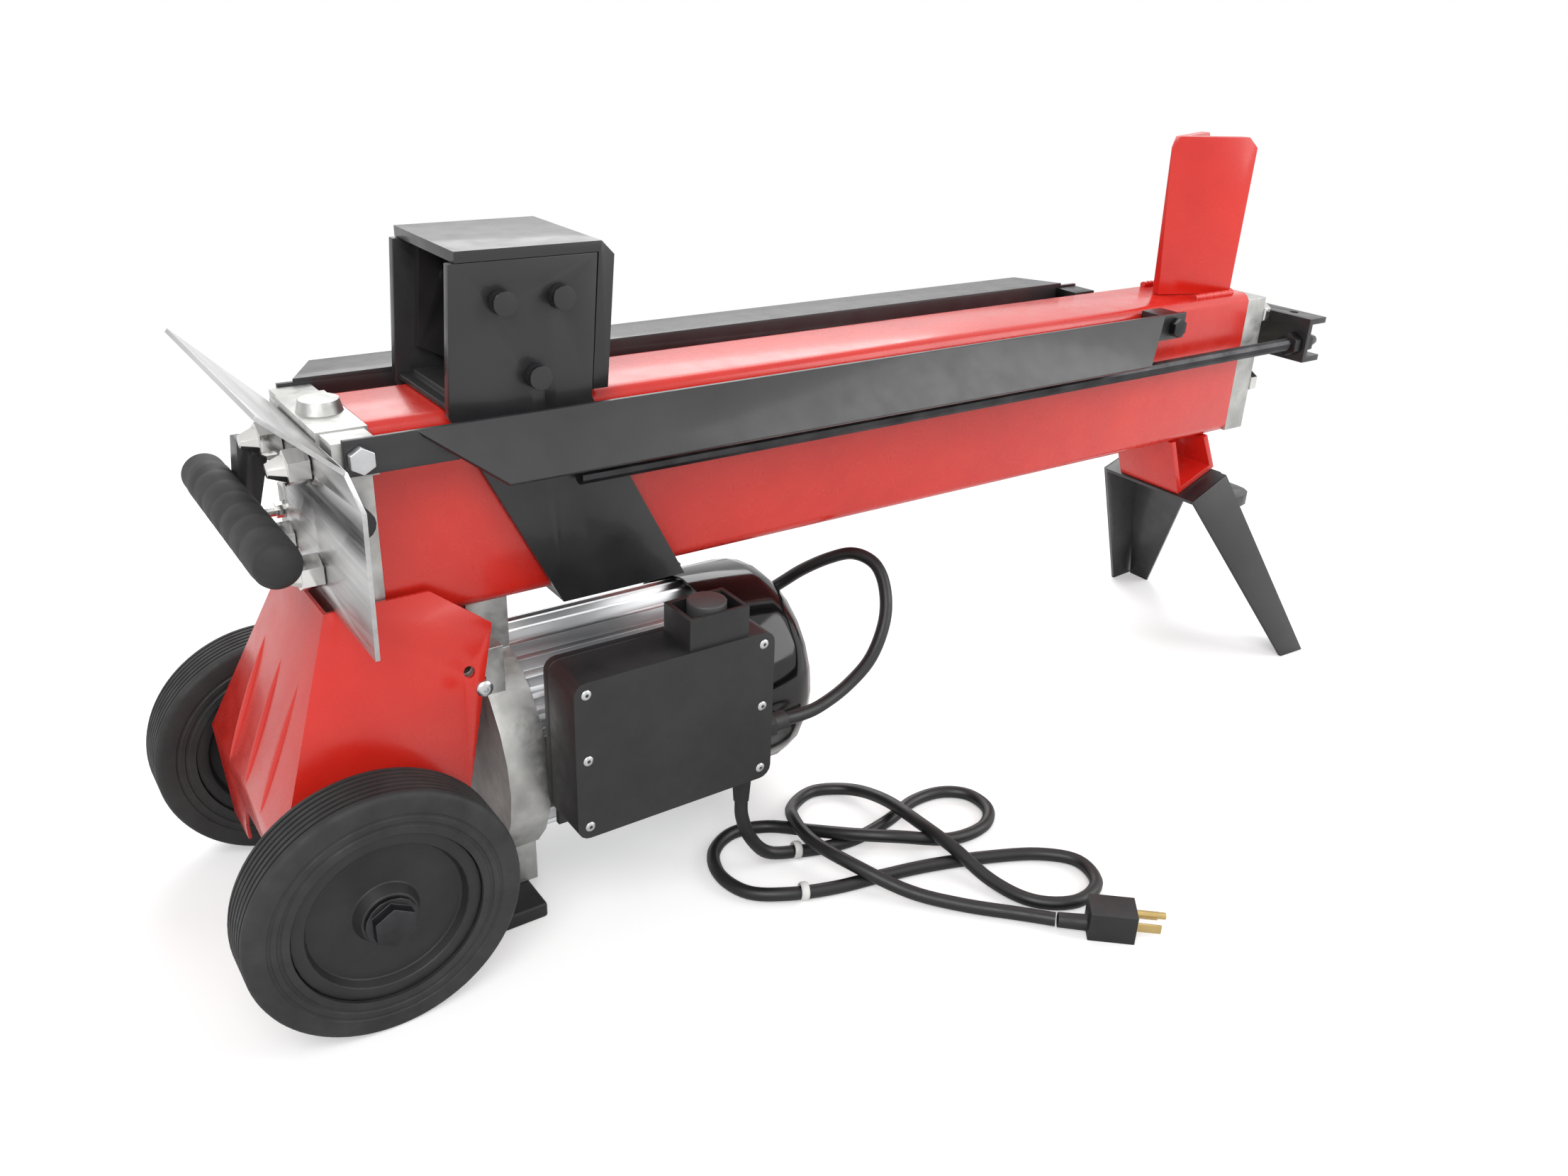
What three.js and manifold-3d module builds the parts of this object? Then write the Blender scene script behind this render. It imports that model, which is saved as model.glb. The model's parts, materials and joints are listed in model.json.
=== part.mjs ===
// Electric hydraulic log splitter: a box beam on two wheels and a front leg. The beam holds the
// cylinder; its rod pushes a crossbar, and two tie rods draw the ram along the beam to the wedge.
// Millimetres, +Z up, floor at z = 0. Pieces are drawn with x = 0 at the beam's rear end and the
// whole group is then moved so that its origin is below the middle of the machine.
import * as THREE from "three";
import * as BufferGeometryUtils from "three/addons/utils/BufferGeometryUtils.js";
import Module from "manifold-3d";

// ---- driving dimensions -------------------------------------------------------------------
const GAP = 0.3;                 // clearance between touching pieces
const FIT = 0.5;                 // radial clearance of a bolt in its hole

const BEAM_LENGTH = 754;
const BEAM_WIDTH = 70;
const BEAM_HEIGHT = 122;
const BEAM_BOTTOM = 209;
const BEAM_WALL = 3.5;
const BEAM_CORNER = 8;
const CUTTING_LENGTH = 520;      // retracted ram face to wedge edge

const CAP_LENGTH = 28;           // rear casting, along X
const CAP_SIDE = 2.5;            // how far it stands proud of the beam's side
const CAP_EAR_Y = 57;            // machined ears that carry the log tables
const FRONT_PLATE_LENGTH = 24;
const FRONT_PLATE_DROP = 5;      // its top lies below the beam's top

const STUD_RADIUS = 4;
const STUD_Y = 27;
const STUD_LOW_Z = 250;
const STUD_HIGH_Z = 311;
const STUD_NUT_AF = 18;
const STUD_NUT_LENGTH = 12;
const STUD_DOME_LENGTH = 9;
const STUD_FRONT_NUT = 8;

const CYLINDER_Z = 286;          // axis of barrel, piston rod and tie rods
const BARREL_RADIUS = 28.5;
const BORE_RADIUS = 25;
const PISTON_LENGTH = 26;
const PISTON_REST_X = 12;
const ROD_RADIUS = 11;
const ROD_THREAD_RADIUS = 6;
const ROD_NUT_AF = 16;
const GLAND_RADIUS = 17;
const SPRING_WIRE_RADIUS = 2.2;
const SPRING_MEAN_RADIUS = 18;
const SPRING_COILS = 26;

const GUARD_THICKNESS = 2.5;
const GUARD_NEAR_Y = -115;
const GUARD_FAR_Y = 34;
const GUARD_BOTTOM = 231;
const GUARD_FOLD_Z = 325;
const GUARD_FLANGE_REACH = 36;   // how far back the bent flange leans
const GUARD_FLANGE_RISE = 31;

const LEVER_PIVOT_X = -42;
const LEVER_PIVOT_Z = 300;
const LEVER_Y = 47;
const LEVER_PIN_RADIUS = 3;
const LEVER_WIDTH = 15;
const LEVER_SHEET = 3;
const LUG_THICKNESS = 6;
const LEVER_FOOT_X = -58;
const LEVER_FOOT_Z = 237;
const GRIP_X = -64;
const GRIP_Z = 279;
const GRIP_RADIUS = 13;
const GRIP_NEAR_Y = -84;
const GRIP_FAR_Y = 77;
const GRIP_BAR_RADIUS = 7;
const SPOOL_RADIUS = 5;
const SPOOL_Z = 260;
const SPOOL_LENGTH = 40;

const TABLE_SHEET = 3;
const TABLE_WEB_Y = 57.5;        // inner face of each log table's upright web
const TABLE_WEB_HEIGHT = 19;
const TABLE_START_X = -21;
const TABLE_END_X = 640;
const NEAR_TABLE_START_X = 18;
const NEAR_TABLE_END_X = 615;
const NEAR_TABLE_WIDTH = 39;     // along its slope
const NEAR_TABLE_SLOPE = 48;     // degrees below level
const FAR_TABLE_START_X = -12;
const FAR_TABLE_END_X = 622;
const FAR_TABLE_WIDTH = 36;
const TABLE_CORNER_CUT = 40;
const TABLE_BOLT_RADIUS = 4;
const TABLE_BOLT_AF = 13;
const TABLE_HEAD_LENGTH = 5.5;
const TABLE_BOLT_X = -13;
const TABLE_SPACER_X = 628;

const RAM_REAR_X = 42;
const RAM_BOX_LENGTH = 87;
const RAM_PLATE = 6;
const RAM_OUTER_Y = 44.5;
const RAM_TOP = 419;
const RAM_LEAN = 0.07;           // forward lean of the ram box, mm per mm of height
const RAM_FACE_THICKNESS = 10;
const RAM_KEEPER = 5;            // plate that passes under the beam
const RAM_KEEPER_FRONT_X = 192;
const RAM_KEEPER_REAR_X = 106;
const RAM_STROKE = 370;
const SCREW_HEAD_RADIUS = 6.8;
const SCREW_HEAD_LENGTH = 8;
const SCREW_RADIUS = 4;

const TIE_RADIUS = 5.5;
const TIE_START_X = 116;
const CROSSBAR_X = 808;
const CROSSBAR_SHEET = 5;
const CROSSBAR_DEPTH = 23;
const CROSSBAR_HALF_HEIGHT = 19;
const CROSSBAR_HALF_LENGTH = 62;
const CROSSBAR_LIFT = 4;         // crossbar's middle above the cylinder axis
const TIE_NUT_AF = 17;
const TIE_NUT_LENGTH = 10;
const TIE_DOME_LENGTH = 13;

const WEDGE_TOP = 456;
const WEDGE_PLATE = 8;
const WEDGE_HALF_ANGLE = 20;     // degrees
const WEDGE_LENGTH = 74;
const WEDGE_LEAN = 9;            // the edge leans this far back at the foot

const BRACKET_HALF_WIDTH = 33;
const BRACKET_SHEET = 5;
const LEG_SHEET = 3;
const LEG_HALF_SPREAD = 102;
const LEG_FOOT_LENGTH = 29;
const CARRY_THICKNESS = 10;

const WHEEL_RADIUS = 78;
const WHEEL_WIDTH = 33;
const TYRE_INNER_RADIUS = 54;
const WHEEL_INNER_Y = 88;
const AXLE_X = -41;
const AXLE_RADIUS = 6;
const AXLE_BOLT_AF = 22;
const AXLE_BOLT_LENGTH = 9;

const SKIRT_SHEET = 2;
const SKIRT_TOP = 229;
const SKIRT_TOP_HALF = 40.5;
const SKIRT_WAIST = 112;
const SKIRT_WAIST_HALF = 80;
const SKIRT_FOOT = 50;
const SKIRT_FOOT_HALF = 70;

const MOTOR_Z = 100;
const MOTOR_START_X = 77;
const MOTOR_LENGTH = 148;
const MOTOR_FIN_RADIUS = 70;
const MOTOR_SHELL_RADIUS = 62;
const MOTOR_BORE_RADIUS = 58;
const MOTOR_FINS = 32;
const STATOR_LENGTH = 70;
const ROTOR_RADIUS = 31;
const AIR_GAP = 0.6;
const SHAFT_RADIUS = 8;
const BEARING_RADIUS = 18;
const BEARING_WIDTH = 11;
const FLANGE_LENGTH = 27;
const FLANGE_RADIUS = 78;
const FAN_RADIUS = 60;
const FAN_BLADES = 7;
const FAN_BLADE_HALF = 1.2;       // half of a blade's thickness
const COVER_RADIUS = 76;
const COVER_LENGTH = 70;
const COVER_SHEET = 1.5;
const FOOT_HALF_WIDTH = 77;
const FOOT_HEIGHT = 11;

const GEAR_TEETH = 10;
const GEAR_CENTRES = 26;
const GEAR_WIDTH = 12;
const GEAR_TOOTH = 3.6;          // half of a tooth's height

const BOX_START_X = 74;
const BOX_LENGTH = 138;
const BOX_BACK_Y = -80;
const BOX_DEPTH = 40;
const BOX_BOTTOM = 84;
const BOX_HEIGHT = 106;
const BOX_WALL = 2.5;
const BOX_BACK_DEPTH = 6;
const BUTTON_X = 173;
const BUTTON_RADIUS = 12.5;
const BUTTON_TRAVEL = 3;
const GUARD_FRAME_HEIGHT = 20;

const LEAD_RADIUS = 4.5;
const CORD_RADIUS = 4.6;

// ---- derived places -----------------------------------------------------------------------
const HALF = BEAM_WIDTH / 2;
const BEAM_TOP = BEAM_BOTTOM + BEAM_HEIGHT;
const RAM_FACE_X = RAM_REAR_X + RAM_BOX_LENGTH + RAM_LEAN * (RAM_TOP - BEAM_TOP) + RAM_FACE_THICKNESS;
const WEDGE_EDGE_X = RAM_FACE_X + CUTTING_LENGTH;
const FRONT_X = BEAM_LENGTH + FRONT_PLATE_LENGTH;
const CROSSBAR_FROM_FRONT = CROSSBAR_X - 778;
const CROSSBAR_AT = FRONT_X + CROSSBAR_FROM_FRONT;
const TIE_Y = RAM_OUTER_Y + GAP + TIE_RADIUS;
const TIE_END_X = CROSSBAR_AT + CROSSBAR_SHEET + TIE_NUT_LENGTH + TIE_DOME_LENGTH;
const MOTOR_END_X = MOTOR_START_X + MOTOR_LENGTH;
const COVER_END_X = MOTOR_END_X + COVER_LENGTH;
const BOX_FRONT_Y = BOX_BACK_Y - BOX_DEPTH;
const BOX_TOP = BOX_BOTTOM + BOX_HEIGHT;
const BOX_END_X = BOX_START_X + BOX_LENGTH;
const WHEEL_OUTER_Y = WHEEL_INNER_Y + WHEEL_WIDTH;
const SMALL_SIDES = 10;
const LOW_SIDES = 16;
const ROUND_SIDES = 24;
const WHEEL_SIDES = 36;

// ---- solid helpers ------------------------------------------------------------------------
const wasm = await Module();
wasm.setup();

function toSolid(geometry) {
  const bare = geometry.clone();
  bare.deleteAttribute("normal");
  bare.deleteAttribute("uv");
  const merged = BufferGeometryUtils.mergeVertices(bare, 1e-4);
  const index = merged.index.array;
  const triangles = [];
  for (let i = 0; i < index.length; i += 3) {
    const [a, b, c] = [index[i], index[i + 1], index[i + 2]];
    if (a !== b && b !== c && c !== a) triangles.push(a, b, c);
  }
  const vertProperties = new Float32Array(merged.attributes.position.array);
  const triVerts = new Uint32Array(triangles);
  return new wasm.Manifold(new wasm.Mesh({ numProp: 3, vertProperties, triVerts }));
}

function toGeometry(solid) {
  const mesh = solid.getMesh();
  const geometry = new THREE.BufferGeometry();
  geometry.setAttribute("position", new THREE.BufferAttribute(mesh.vertProperties, 3));
  geometry.setIndex(new THREE.BufferAttribute(mesh.triVerts, 1));
  return geometry;
}

function join(...pieces) {
  let solid = toSolid(pieces[0]);
  for (const piece of pieces.slice(1)) solid = solid.add(toSolid(piece));
  return toGeometry(solid);
}

function cut(base, ...tools) {
  let solid = toSolid(base);
  for (const tool of tools) solid = solid.subtract(toSolid(tool));
  return toGeometry(solid);
}

function common(first, second) {
  return toGeometry(toSolid(first).intersect(toSolid(second)));
}

function box(x0, x1, y0, y1, z0, z1) {
  const geometry = new THREE.BoxGeometry(x1 - x0, y1 - y0, z1 - z0);
  return geometry.translate((x0 + x1) / 2, (y0 + y1) / 2, (z0 + z1) / 2);
}

// A round bar along an axis from a to b; u and v are its centre's other two places in X, Y, Z order.
function bar(axis, radius, a, b, u, v, sides = LOW_SIDES, endRadius = radius) {
  const geometry = new THREE.CylinderGeometry(endRadius, radius, b - a, sides);
  geometry.translate(0, (a + b) / 2, 0);
  if (axis === "x") return geometry.rotateZ(-Math.PI / 2).translate(0, u, v);
  if (axis === "y") return geometry.translate(u, 0, v);
  return geometry.rotateX(Math.PI / 2).translate(u, v, 0);
}

function hexBar(axis, acrossFlats, a, b, u, v) {
  return bar(axis, acrossFlats / Math.sqrt(3), a, b, u, v, 6);
}

function sleeve(axis, outer, inner, a, b, u, v, sides = ROUND_SIDES) {
  return cut(bar(axis, outer, a, b, u, v, sides), bar(axis, inner, a - 1, b + 1, u, v, sides));
}

// A flat outline in a plane, given a thickness along that plane's normal.
function prism(outline, basis, from, depth, holes = []) {
  const shape = new THREE.Shape(outline.map(([u, v]) => new THREE.Vector2(u, v)));
  for (const hole of holes) {
    shape.holes.push(new THREE.Path(hole.map(([u, v]) => new THREE.Vector2(u, v))));
  }
  const geometry = new THREE.ExtrudeGeometry(shape, { depth, bevelEnabled: false });
  const [eu, ev, ew] = basis;
  const matrix = new THREE.Matrix4().makeBasis(eu, ev, ew);
  return geometry.translate(0, 0, from).applyMatrix4(matrix);
}

const X = new THREE.Vector3(1, 0, 0);
const Y = new THREE.Vector3(0, 1, 0);
const Z = new THREE.Vector3(0, 0, 1);

function prismX(outlineYZ, x0, x1, holes) {
  return prism(outlineYZ, [Y, Z, X], x0, x1 - x0, holes);
}

function prismY(outlineXZ, y0, y1, holes) {
  return prism(outlineXZ, [X, Z, Y.clone().negate()], -y1, y1 - y0, holes);
}

function prismZ(outlineXY, z0, z1, holes) {
  return prism(outlineXY, [X, Y, Z], z0, z1 - z0, holes);
}

// A flat sheet: its outer face's corners, counterclockwise from outside, and its thickness inwards.
function plate(corners, thickness) {
  const points = corners.map(([x, y, z]) => new THREE.Vector3(x, y, z));
  const normal = new THREE.Vector3();
  for (let i = 0; i < points.length; i += 1) {
    normal.add(new THREE.Vector3().crossVectors(points[i], points[(i + 1) % points.length]));
  }
  normal.normalize();
  const along = points[1].clone().sub(points[0]).normalize();
  const across = new THREE.Vector3().crossVectors(normal, along);
  const flat = points.map((p) => [p.dot(along), p.dot(across)]);
  return prism(flat, [along, across, normal], points[0].dot(normal) - thickness, thickness);
}

// The outline of a strip of sheet that follows a path, with its thickness to the path's left.
function strip(path, thickness) {
  const left = [];
  for (let i = 0; i < path.length; i += 1) {
    const before = path[Math.max(i - 1, 0)];
    const here = path[i];
    const after = path[Math.min(i + 1, path.length - 1)];
    const a = new THREE.Vector2(here[0] - before[0], here[1] - before[1]).normalize();
    const b = new THREE.Vector2(after[0] - here[0], after[1] - here[1]).normalize();
    if (i === 0) a.copy(b);
    if (i === path.length - 1) b.copy(a);
    const middle = a.clone().add(b).normalize();
    const reach = thickness / middle.dot(b);
    left.push([here[0] - middle.y * reach, here[1] + middle.x * reach]);
  }
  return [...path, ...left.reverse()];
}

function roundedRect(u0, u1, v0, v1, radius, steps = 4) {
  const points = [];
  const corners = [[u1, v1, 0], [u0, v1, 1], [u0, v0, 2], [u1, v0, 3]];
  for (const [u, v, quarter] of corners) {
    const cu = u - Math.sign(u - (u0 + u1) / 2) * radius;
    const cv = v - Math.sign(v - (v0 + v1) / 2) * radius;
    for (let i = 0; i <= steps; i += 1) {
      const angle = ((quarter + i / steps) * Math.PI) / 2;
      points.push([cu + radius * Math.cos(angle), cv + radius * Math.sin(angle)]);
    }
  }
  return points;
}

// A turned body about Y; the closed profile lists [radius, y] counterclockwise.
function turned(profile, sides) {
  return new THREE.LatheGeometry(profile.map(([r, y]) => new THREE.Vector2(r, y)), sides);
}

function mirrorY(geometry) {
  const flipped = geometry.clone().scale(1, -1, 1);
  const index = flipped.index ? flipped.index.array : null;
  if (!index) {
    const position = flipped.attributes.position;
    const count = position.count;
    flipped.setIndex([...Array(count).keys()]);
  }
  const turnedIndex = flipped.index.array;
  for (let i = 0; i < turnedIndex.length; i += 3) {
    [turnedIndex[i], turnedIndex[i + 1]] = [turnedIndex[i + 1], turnedIndex[i]];
  }
  return flipped;
}

// ---- finishes and assembly ----------------------------------------------------------------
const group = new THREE.Group();

function finish(color, roughness, metalness) {
  return { color, roughness, metalness };
}

const RED_PAINT = finish(0xd8261c, 0.3, 0);
const BLACK_PAINT = finish(0x17171a, 0.42, 0);
const CAST_ALUMINIUM = finish(0xa9a9a6, 0.5, 0.9);
const BRUSHED_STEEL = finish(0xb9bbbd, 0.32, 1);
const CHROME = finish(0xd6d7d9, 0.12, 1);
const ZINC = finish(0xb4b6b8, 0.3, 1);
const DARK_STEEL = finish(0x3a3b3d, 0.4, 0.9);
const BLACK_PLASTIC = finish(0x1a1a1b, 0.5, 0);
const GLOSS_BLACK = finish(0x0b0b0c, 0.15, 0);
const RUBBER = finish(0x242425, 0.8, 0);
const COPPER = finish(0xb4673a, 0.45, 0.9);
const WHITE_NYLON = finish(0xe9e9e6, 0.5, 0);
const BRASS = finish(0xc2a35a, 0.3, 1);

function add(name, geometry, look) {
  const mesh = new THREE.Mesh(geometry, new THREE.MeshStandardMaterial(look));
  mesh.name = name;
  group.add(mesh);
}

// ---- beam, cylinder and end pieces --------------------------------------------------------
function studPlaces() {
  return [
    ["near_low", -STUD_Y, STUD_LOW_Z],
    ["near_high", -STUD_Y, STUD_HIGH_Z],
    ["far_low", STUD_Y, STUD_LOW_Z],
    ["far_high", STUD_Y, STUD_HIGH_Z],
  ];
}

function studHoles(x0, x1) {
  return studPlaces().map(([, y, z]) => bar("x", STUD_RADIUS + FIT, x0, x1, y, z, SMALL_SIDES));
}

function beamTube() {
  const outer = roundedRect(-HALF, HALF, BEAM_BOTTOM, BEAM_TOP, BEAM_CORNER);
  const inset = HALF - BEAM_WALL;
  const low = BEAM_BOTTOM + BEAM_WALL;
  const high = BEAM_TOP - BEAM_WALL;
  const inner = roundedRect(-inset, inset, low, high, BEAM_CORNER - BEAM_WALL);
  return prismX(outer, 0, BEAM_LENGTH, [inner]);
}

function barrel() {
  const x1 = BEAM_LENGTH - GAP;
  return sleeve("x", BARREL_RADIUS, BORE_RADIUS, GAP, x1, 0, CYLINDER_Z);
}

function rearCap() {
  const side = HALF + CAP_SIDE;
  const earLow = BEAM_TOP - TABLE_WEB_HEIGHT - 2;
  const x0 = -CAP_LENGTH;
  const x1 = -GAP;
  const body = box(x0, x1, -side, side, BEAM_BOTTOM + 3, BEAM_TOP);
  const ears = box(x0 + 2, x1 - 2, -CAP_EAR_Y, CAP_EAR_Y, earLow, BEAM_TOP - 1);
  const boss = bar("z", 14, BEAM_TOP - 5, BEAM_TOP + 7, x0 / 2, 0, LOW_SIDES, 11);
  const valve = box(x0, x1, 0, LEVER_Y + 12, SPOOL_Z - 13, SPOOL_Z + 13);
  const spoolBore = bar("x", SPOOL_RADIUS + GAP, x0 - 1, x1 - 3, LEVER_Y, SPOOL_Z);
  const portFace = bar("x", BORE_RADIUS - 7, x1 - 8, x1 + 1, 0, CYLINDER_Z);
  const bleedBore = bar("y", 4 + FIT, -side - 1, -side + 18, x0 / 2, 281, SMALL_SIDES);
  const earBore = bar("y", TABLE_BOLT_RADIUS + FIT, -CAP_EAR_Y - 1, CAP_EAR_Y + 1, TABLE_BOLT_X,
    BEAM_TOP - TABLE_WEB_HEIGHT / 2, SMALL_SIDES);
  const solid = join(body, ears, boss, valve, leverLug());
  return cut(solid, spoolBore, portFace, bleedBore, earBore, leverPinBore(), ...studHoles(x0 - 1, x1 + 1));
}

function frontPlate() {
  const x0 = BEAM_LENGTH + GAP;
  const body = box(x0, FRONT_X, -HALF, HALF, BEAM_BOTTOM + 1, BEAM_TOP - FRONT_PLATE_DROP);
  const seat = bar("x", GLAND_RADIUS + GAP, x0 - 1, FRONT_X + 1, 0, CYLINDER_Z, ROUND_SIDES);
  return cut(body, seat, ...studHoles(x0 - 1, FRONT_X + 1));
}

function throughStud(y, z) {
  const nutX = -CAP_LENGTH - GUARD_THICKNESS - 3 * GAP;
  const domeX = nutX - STUD_NUT_LENGTH;
  const shank = bar("x", STUD_RADIUS, nutX - 2, FRONT_X + STUD_FRONT_NUT + 3, y, z, SMALL_SIDES);
  const nut = hexBar("x", STUD_NUT_AF, domeX, nutX, y, z);
  const dome = bar("x", 4, domeX - STUD_DOME_LENGTH, domeX, y, z, SMALL_SIDES, 8);
  const front = hexBar("x", STUD_NUT_AF, FRONT_X + GAP, FRONT_X + STUD_FRONT_NUT, y, z);
  return join(shank, nut, dome, front);
}

function rodGland() {
  const inner = ROD_RADIUS + GAP;
  return sleeve("x", GLAND_RADIUS, inner, BEAM_LENGTH + 2 * GAP, FRONT_X + 5, 0, CYLINDER_Z);
}

function pistonRod() {
  const x1 = CROSSBAR_AT - GAP;
  const body = bar("x", ROD_RADIUS, PISTON_REST_X + PISTON_LENGTH / 2, x1, 0, CYLINDER_Z);
  const tail = bar("x", ROD_THREAD_RADIUS, PISTON_REST_X, x1, 0, CYLINDER_Z);
  const end = CROSSBAR_AT + CROSSBAR_SHEET + 13;
  const nutX = CROSSBAR_AT + CROSSBAR_SHEET + GAP;
  const nut = hexBar("x", ROD_NUT_AF, nutX, nutX + 10, 0, CYLINDER_Z);
  return join(body, tail, bar("x", ROD_THREAD_RADIUS, x1 - 1, end, 0, CYLINDER_Z), nut);
}

function piston() {
  const x0 = PISTON_REST_X;
  const x1 = x0 + PISTON_LENGTH;
  const disc = bar("x", BORE_RADIUS - 2 * GAP, x0, x1, 0, CYLINDER_Z, ROUND_SIDES);
  const thread = bar("x", ROD_THREAD_RADIUS + GAP, x0 - 1, x1 + 1, 0, CYLINDER_Z);
  const seat = bar("x", ROD_RADIUS + GAP, x0 + PISTON_LENGTH / 2 - GAP, x1 + 1, 0, CYLINDER_Z);
  return cut(disc, thread, seat);
}

class SpringCurve extends THREE.Curve {
  constructor(x0, x1, radius, turns) {
    super();
    Object.assign(this, { x0, x1, radius, turns });
  }

  getPoint(t, target = new THREE.Vector3()) {
    const angle = t * this.turns * 2 * Math.PI;
    const y = this.radius * Math.cos(angle);
    const z = CYLINDER_Z + this.radius * Math.sin(angle);
    return target.set(this.x0 + (this.x1 - this.x0) * t, y, z);
  }
}

function circleShape(radius, sides) {
  const points = [];
  for (let i = 0; i < sides; i += 1) {
    const angle = (2 * Math.PI * i) / sides;
    points.push(new THREE.Vector2(radius * Math.cos(angle), radius * Math.sin(angle)));
  }
  return new THREE.Shape(points);
}

function sweep(curve, radius, steps, sides) {
  const options = { steps, extrudePath: curve, bevelEnabled: false };
  return new THREE.ExtrudeGeometry(circleShape(radius, sides), options);
}

function returnSpring() {
  const x0 = PISTON_REST_X + PISTON_LENGTH + SPRING_WIRE_RADIUS + GAP;
  const x1 = BEAM_LENGTH - SPRING_WIRE_RADIUS - GAP;
  const curve = new SpringCurve(x0, x1, SPRING_MEAN_RADIUS, SPRING_COILS);
  return sweep(curve, SPRING_WIRE_RADIUS, SPRING_COILS * 8, 4);
}

function bleedScrew() {
  const x = -CAP_LENGTH / 2;
  const face = -HALF - CAP_SIDE - GAP;
  const knob = bar("y", 9, face - 14, face, x, 281, LOW_SIDES);
  return join(knob, bar("y", 4, face - 1, face + 14, x, 281, SMALL_SIDES));
}

// ---- hand guard, lever and valve spool ----------------------------------------------------
function guardPlate() {
  const x0 = -CAP_LENGTH - GAP - GUARD_THICKNESS;
  const x1 = x0 + GUARD_THICKNESS;
  const nearFold = GUARD_NEAR_Y + 24;
  const outline = [
    [GUARD_FAR_Y, GUARD_BOTTOM], [GUARD_FAR_Y, GUARD_FOLD_Z + 1], [nearFold, GUARD_FOLD_Z + 1],
    [GUARD_NEAR_Y, GUARD_FOLD_Z - 12], [GUARD_NEAR_Y + 4, GUARD_BOTTOM],
  ];
  const face = prismX(outline, x0, x1);
  const farTip = GUARD_FAR_Y + 76;
  const flange = plate([
    [x0, nearFold, GUARD_FOLD_Z], [x0 - GUARD_FLANGE_REACH, nearFold + 10, GUARD_FOLD_Z + GUARD_FLANGE_RISE],
    [x0 - GUARD_FLANGE_REACH, farTip, GUARD_FOLD_Z + GUARD_FLANGE_RISE], [x0, GUARD_FAR_Y, GUARD_FOLD_Z],
  ], GUARD_THICKNESS);
  return cut(join(face, flange), ...studHoles(x0 - 20, x1 + 1));
}

function leverLug() {
  const x1 = -CAP_LENGTH + 2;
  const outline = [
    [x1, LEVER_PIVOT_Z + 10], [LEVER_PIVOT_X, LEVER_PIVOT_Z + 6], [LEVER_PIVOT_X - 4.5, LEVER_PIVOT_Z],
    [LEVER_PIVOT_X, LEVER_PIVOT_Z - 6], [x1, LEVER_PIVOT_Z - 10],
  ];
  const lug = prismY(outline, LEVER_Y - LUG_THICKNESS / 2, LEVER_Y + LUG_THICKNESS / 2);
  const cheek = box(-CAP_LENGTH, -CAP_LENGTH + 6, HALF, LEVER_Y + LUG_THICKNESS / 2,
    LEVER_PIVOT_Z - 10, BEAM_TOP - 4);
  return join(lug, cheek);
}

function leverPinBore() {
  return bar("y", LEVER_PIN_RADIUS + GAP, 36, 90, LEVER_PIVOT_X, LEVER_PIVOT_Z, SMALL_SIDES);
}

function leverPin() {
  const half = LEVER_WIDTH / 2 + 2;
  const pin = bar("y", LEVER_PIN_RADIUS, LEVER_Y - half, LEVER_Y + half, LEVER_PIVOT_X, LEVER_PIVOT_Z, SMALL_SIDES);
  const head = bar("y", LEVER_PIN_RADIUS + 2, LEVER_Y + half - 1, LEVER_Y + half + 1.5, LEVER_PIVOT_X,
    LEVER_PIVOT_Z, SMALL_SIDES);
  return join(pin, head);
}

// A pressed channel whose web faces the operator and whose two cheeks straddle the lug.
function leverArm() {
  const y0 = LEVER_Y - LEVER_WIDTH / 2;
  const y1 = LEVER_Y + LEVER_WIDTH / 2;
  const top = LEVER_PIVOT_Z + 7;
  const back = LEVER_PIVOT_X - 9;
  const outline = [
    [back, top], [LEVER_PIVOT_X + 5, top], [LEVER_PIVOT_X + 6, LEVER_PIVOT_Z - 6],
    [LEVER_FOOT_X + 7, LEVER_FOOT_Z], [LEVER_FOOT_X, LEVER_FOOT_Z],
  ];
  const block = prismY(outline, y0, y1);
  const hollow = prismY([
    [back + LEVER_SHEET, top + 1], [40, top + 1], [40, SPOOL_Z + 8], [LEVER_FOOT_X + 12, SPOOL_Z + 8],
  ], y0 + LEVER_SHEET, y1 - LEVER_SHEET);
  const stub = box(GRIP_X, GRIP_X + 14, LEVER_Y - 5, LEVER_Y + 5, GRIP_Z - 4, GRIP_Z + 4);
  const core = bar("y", GRIP_BAR_RADIUS, GRIP_NEAR_Y + 6, GRIP_FAR_Y - 6, GRIP_X, GRIP_Z, LOW_SIDES);
  return join(cut(block, hollow), leverPin(), stub, core);
}

function leverGrip() {
  const body = bar("y", GRIP_RADIUS, GRIP_NEAR_Y, GRIP_FAR_Y, GRIP_X, GRIP_Z, LOW_SIDES);
  const bore = bar("y", GRIP_BAR_RADIUS + GAP, GRIP_NEAR_Y + 5, GRIP_FAR_Y - 5, GRIP_X, GRIP_Z, LOW_SIDES);
  const slot = box(GRIP_X, GRIP_X + 20, LEVER_Y - 8.2, LEVER_Y + 8.2, GRIP_Z - 14, GRIP_Z + 14);
  const keep = box(GRIP_X, GRIP_X + 9, LEVER_Y - 9, LEVER_Y + 9, GRIP_Z - 15, GRIP_Z + 15);
  const relief = cut(slot, keep);
  const window = box(GRIP_X, GRIP_X + 20, LEVER_Y - 5.3, LEVER_Y + 5.3, GRIP_Z - 4.3, GRIP_Z + 4.3);
  return cut(body, bore, relief, window);
}

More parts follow.
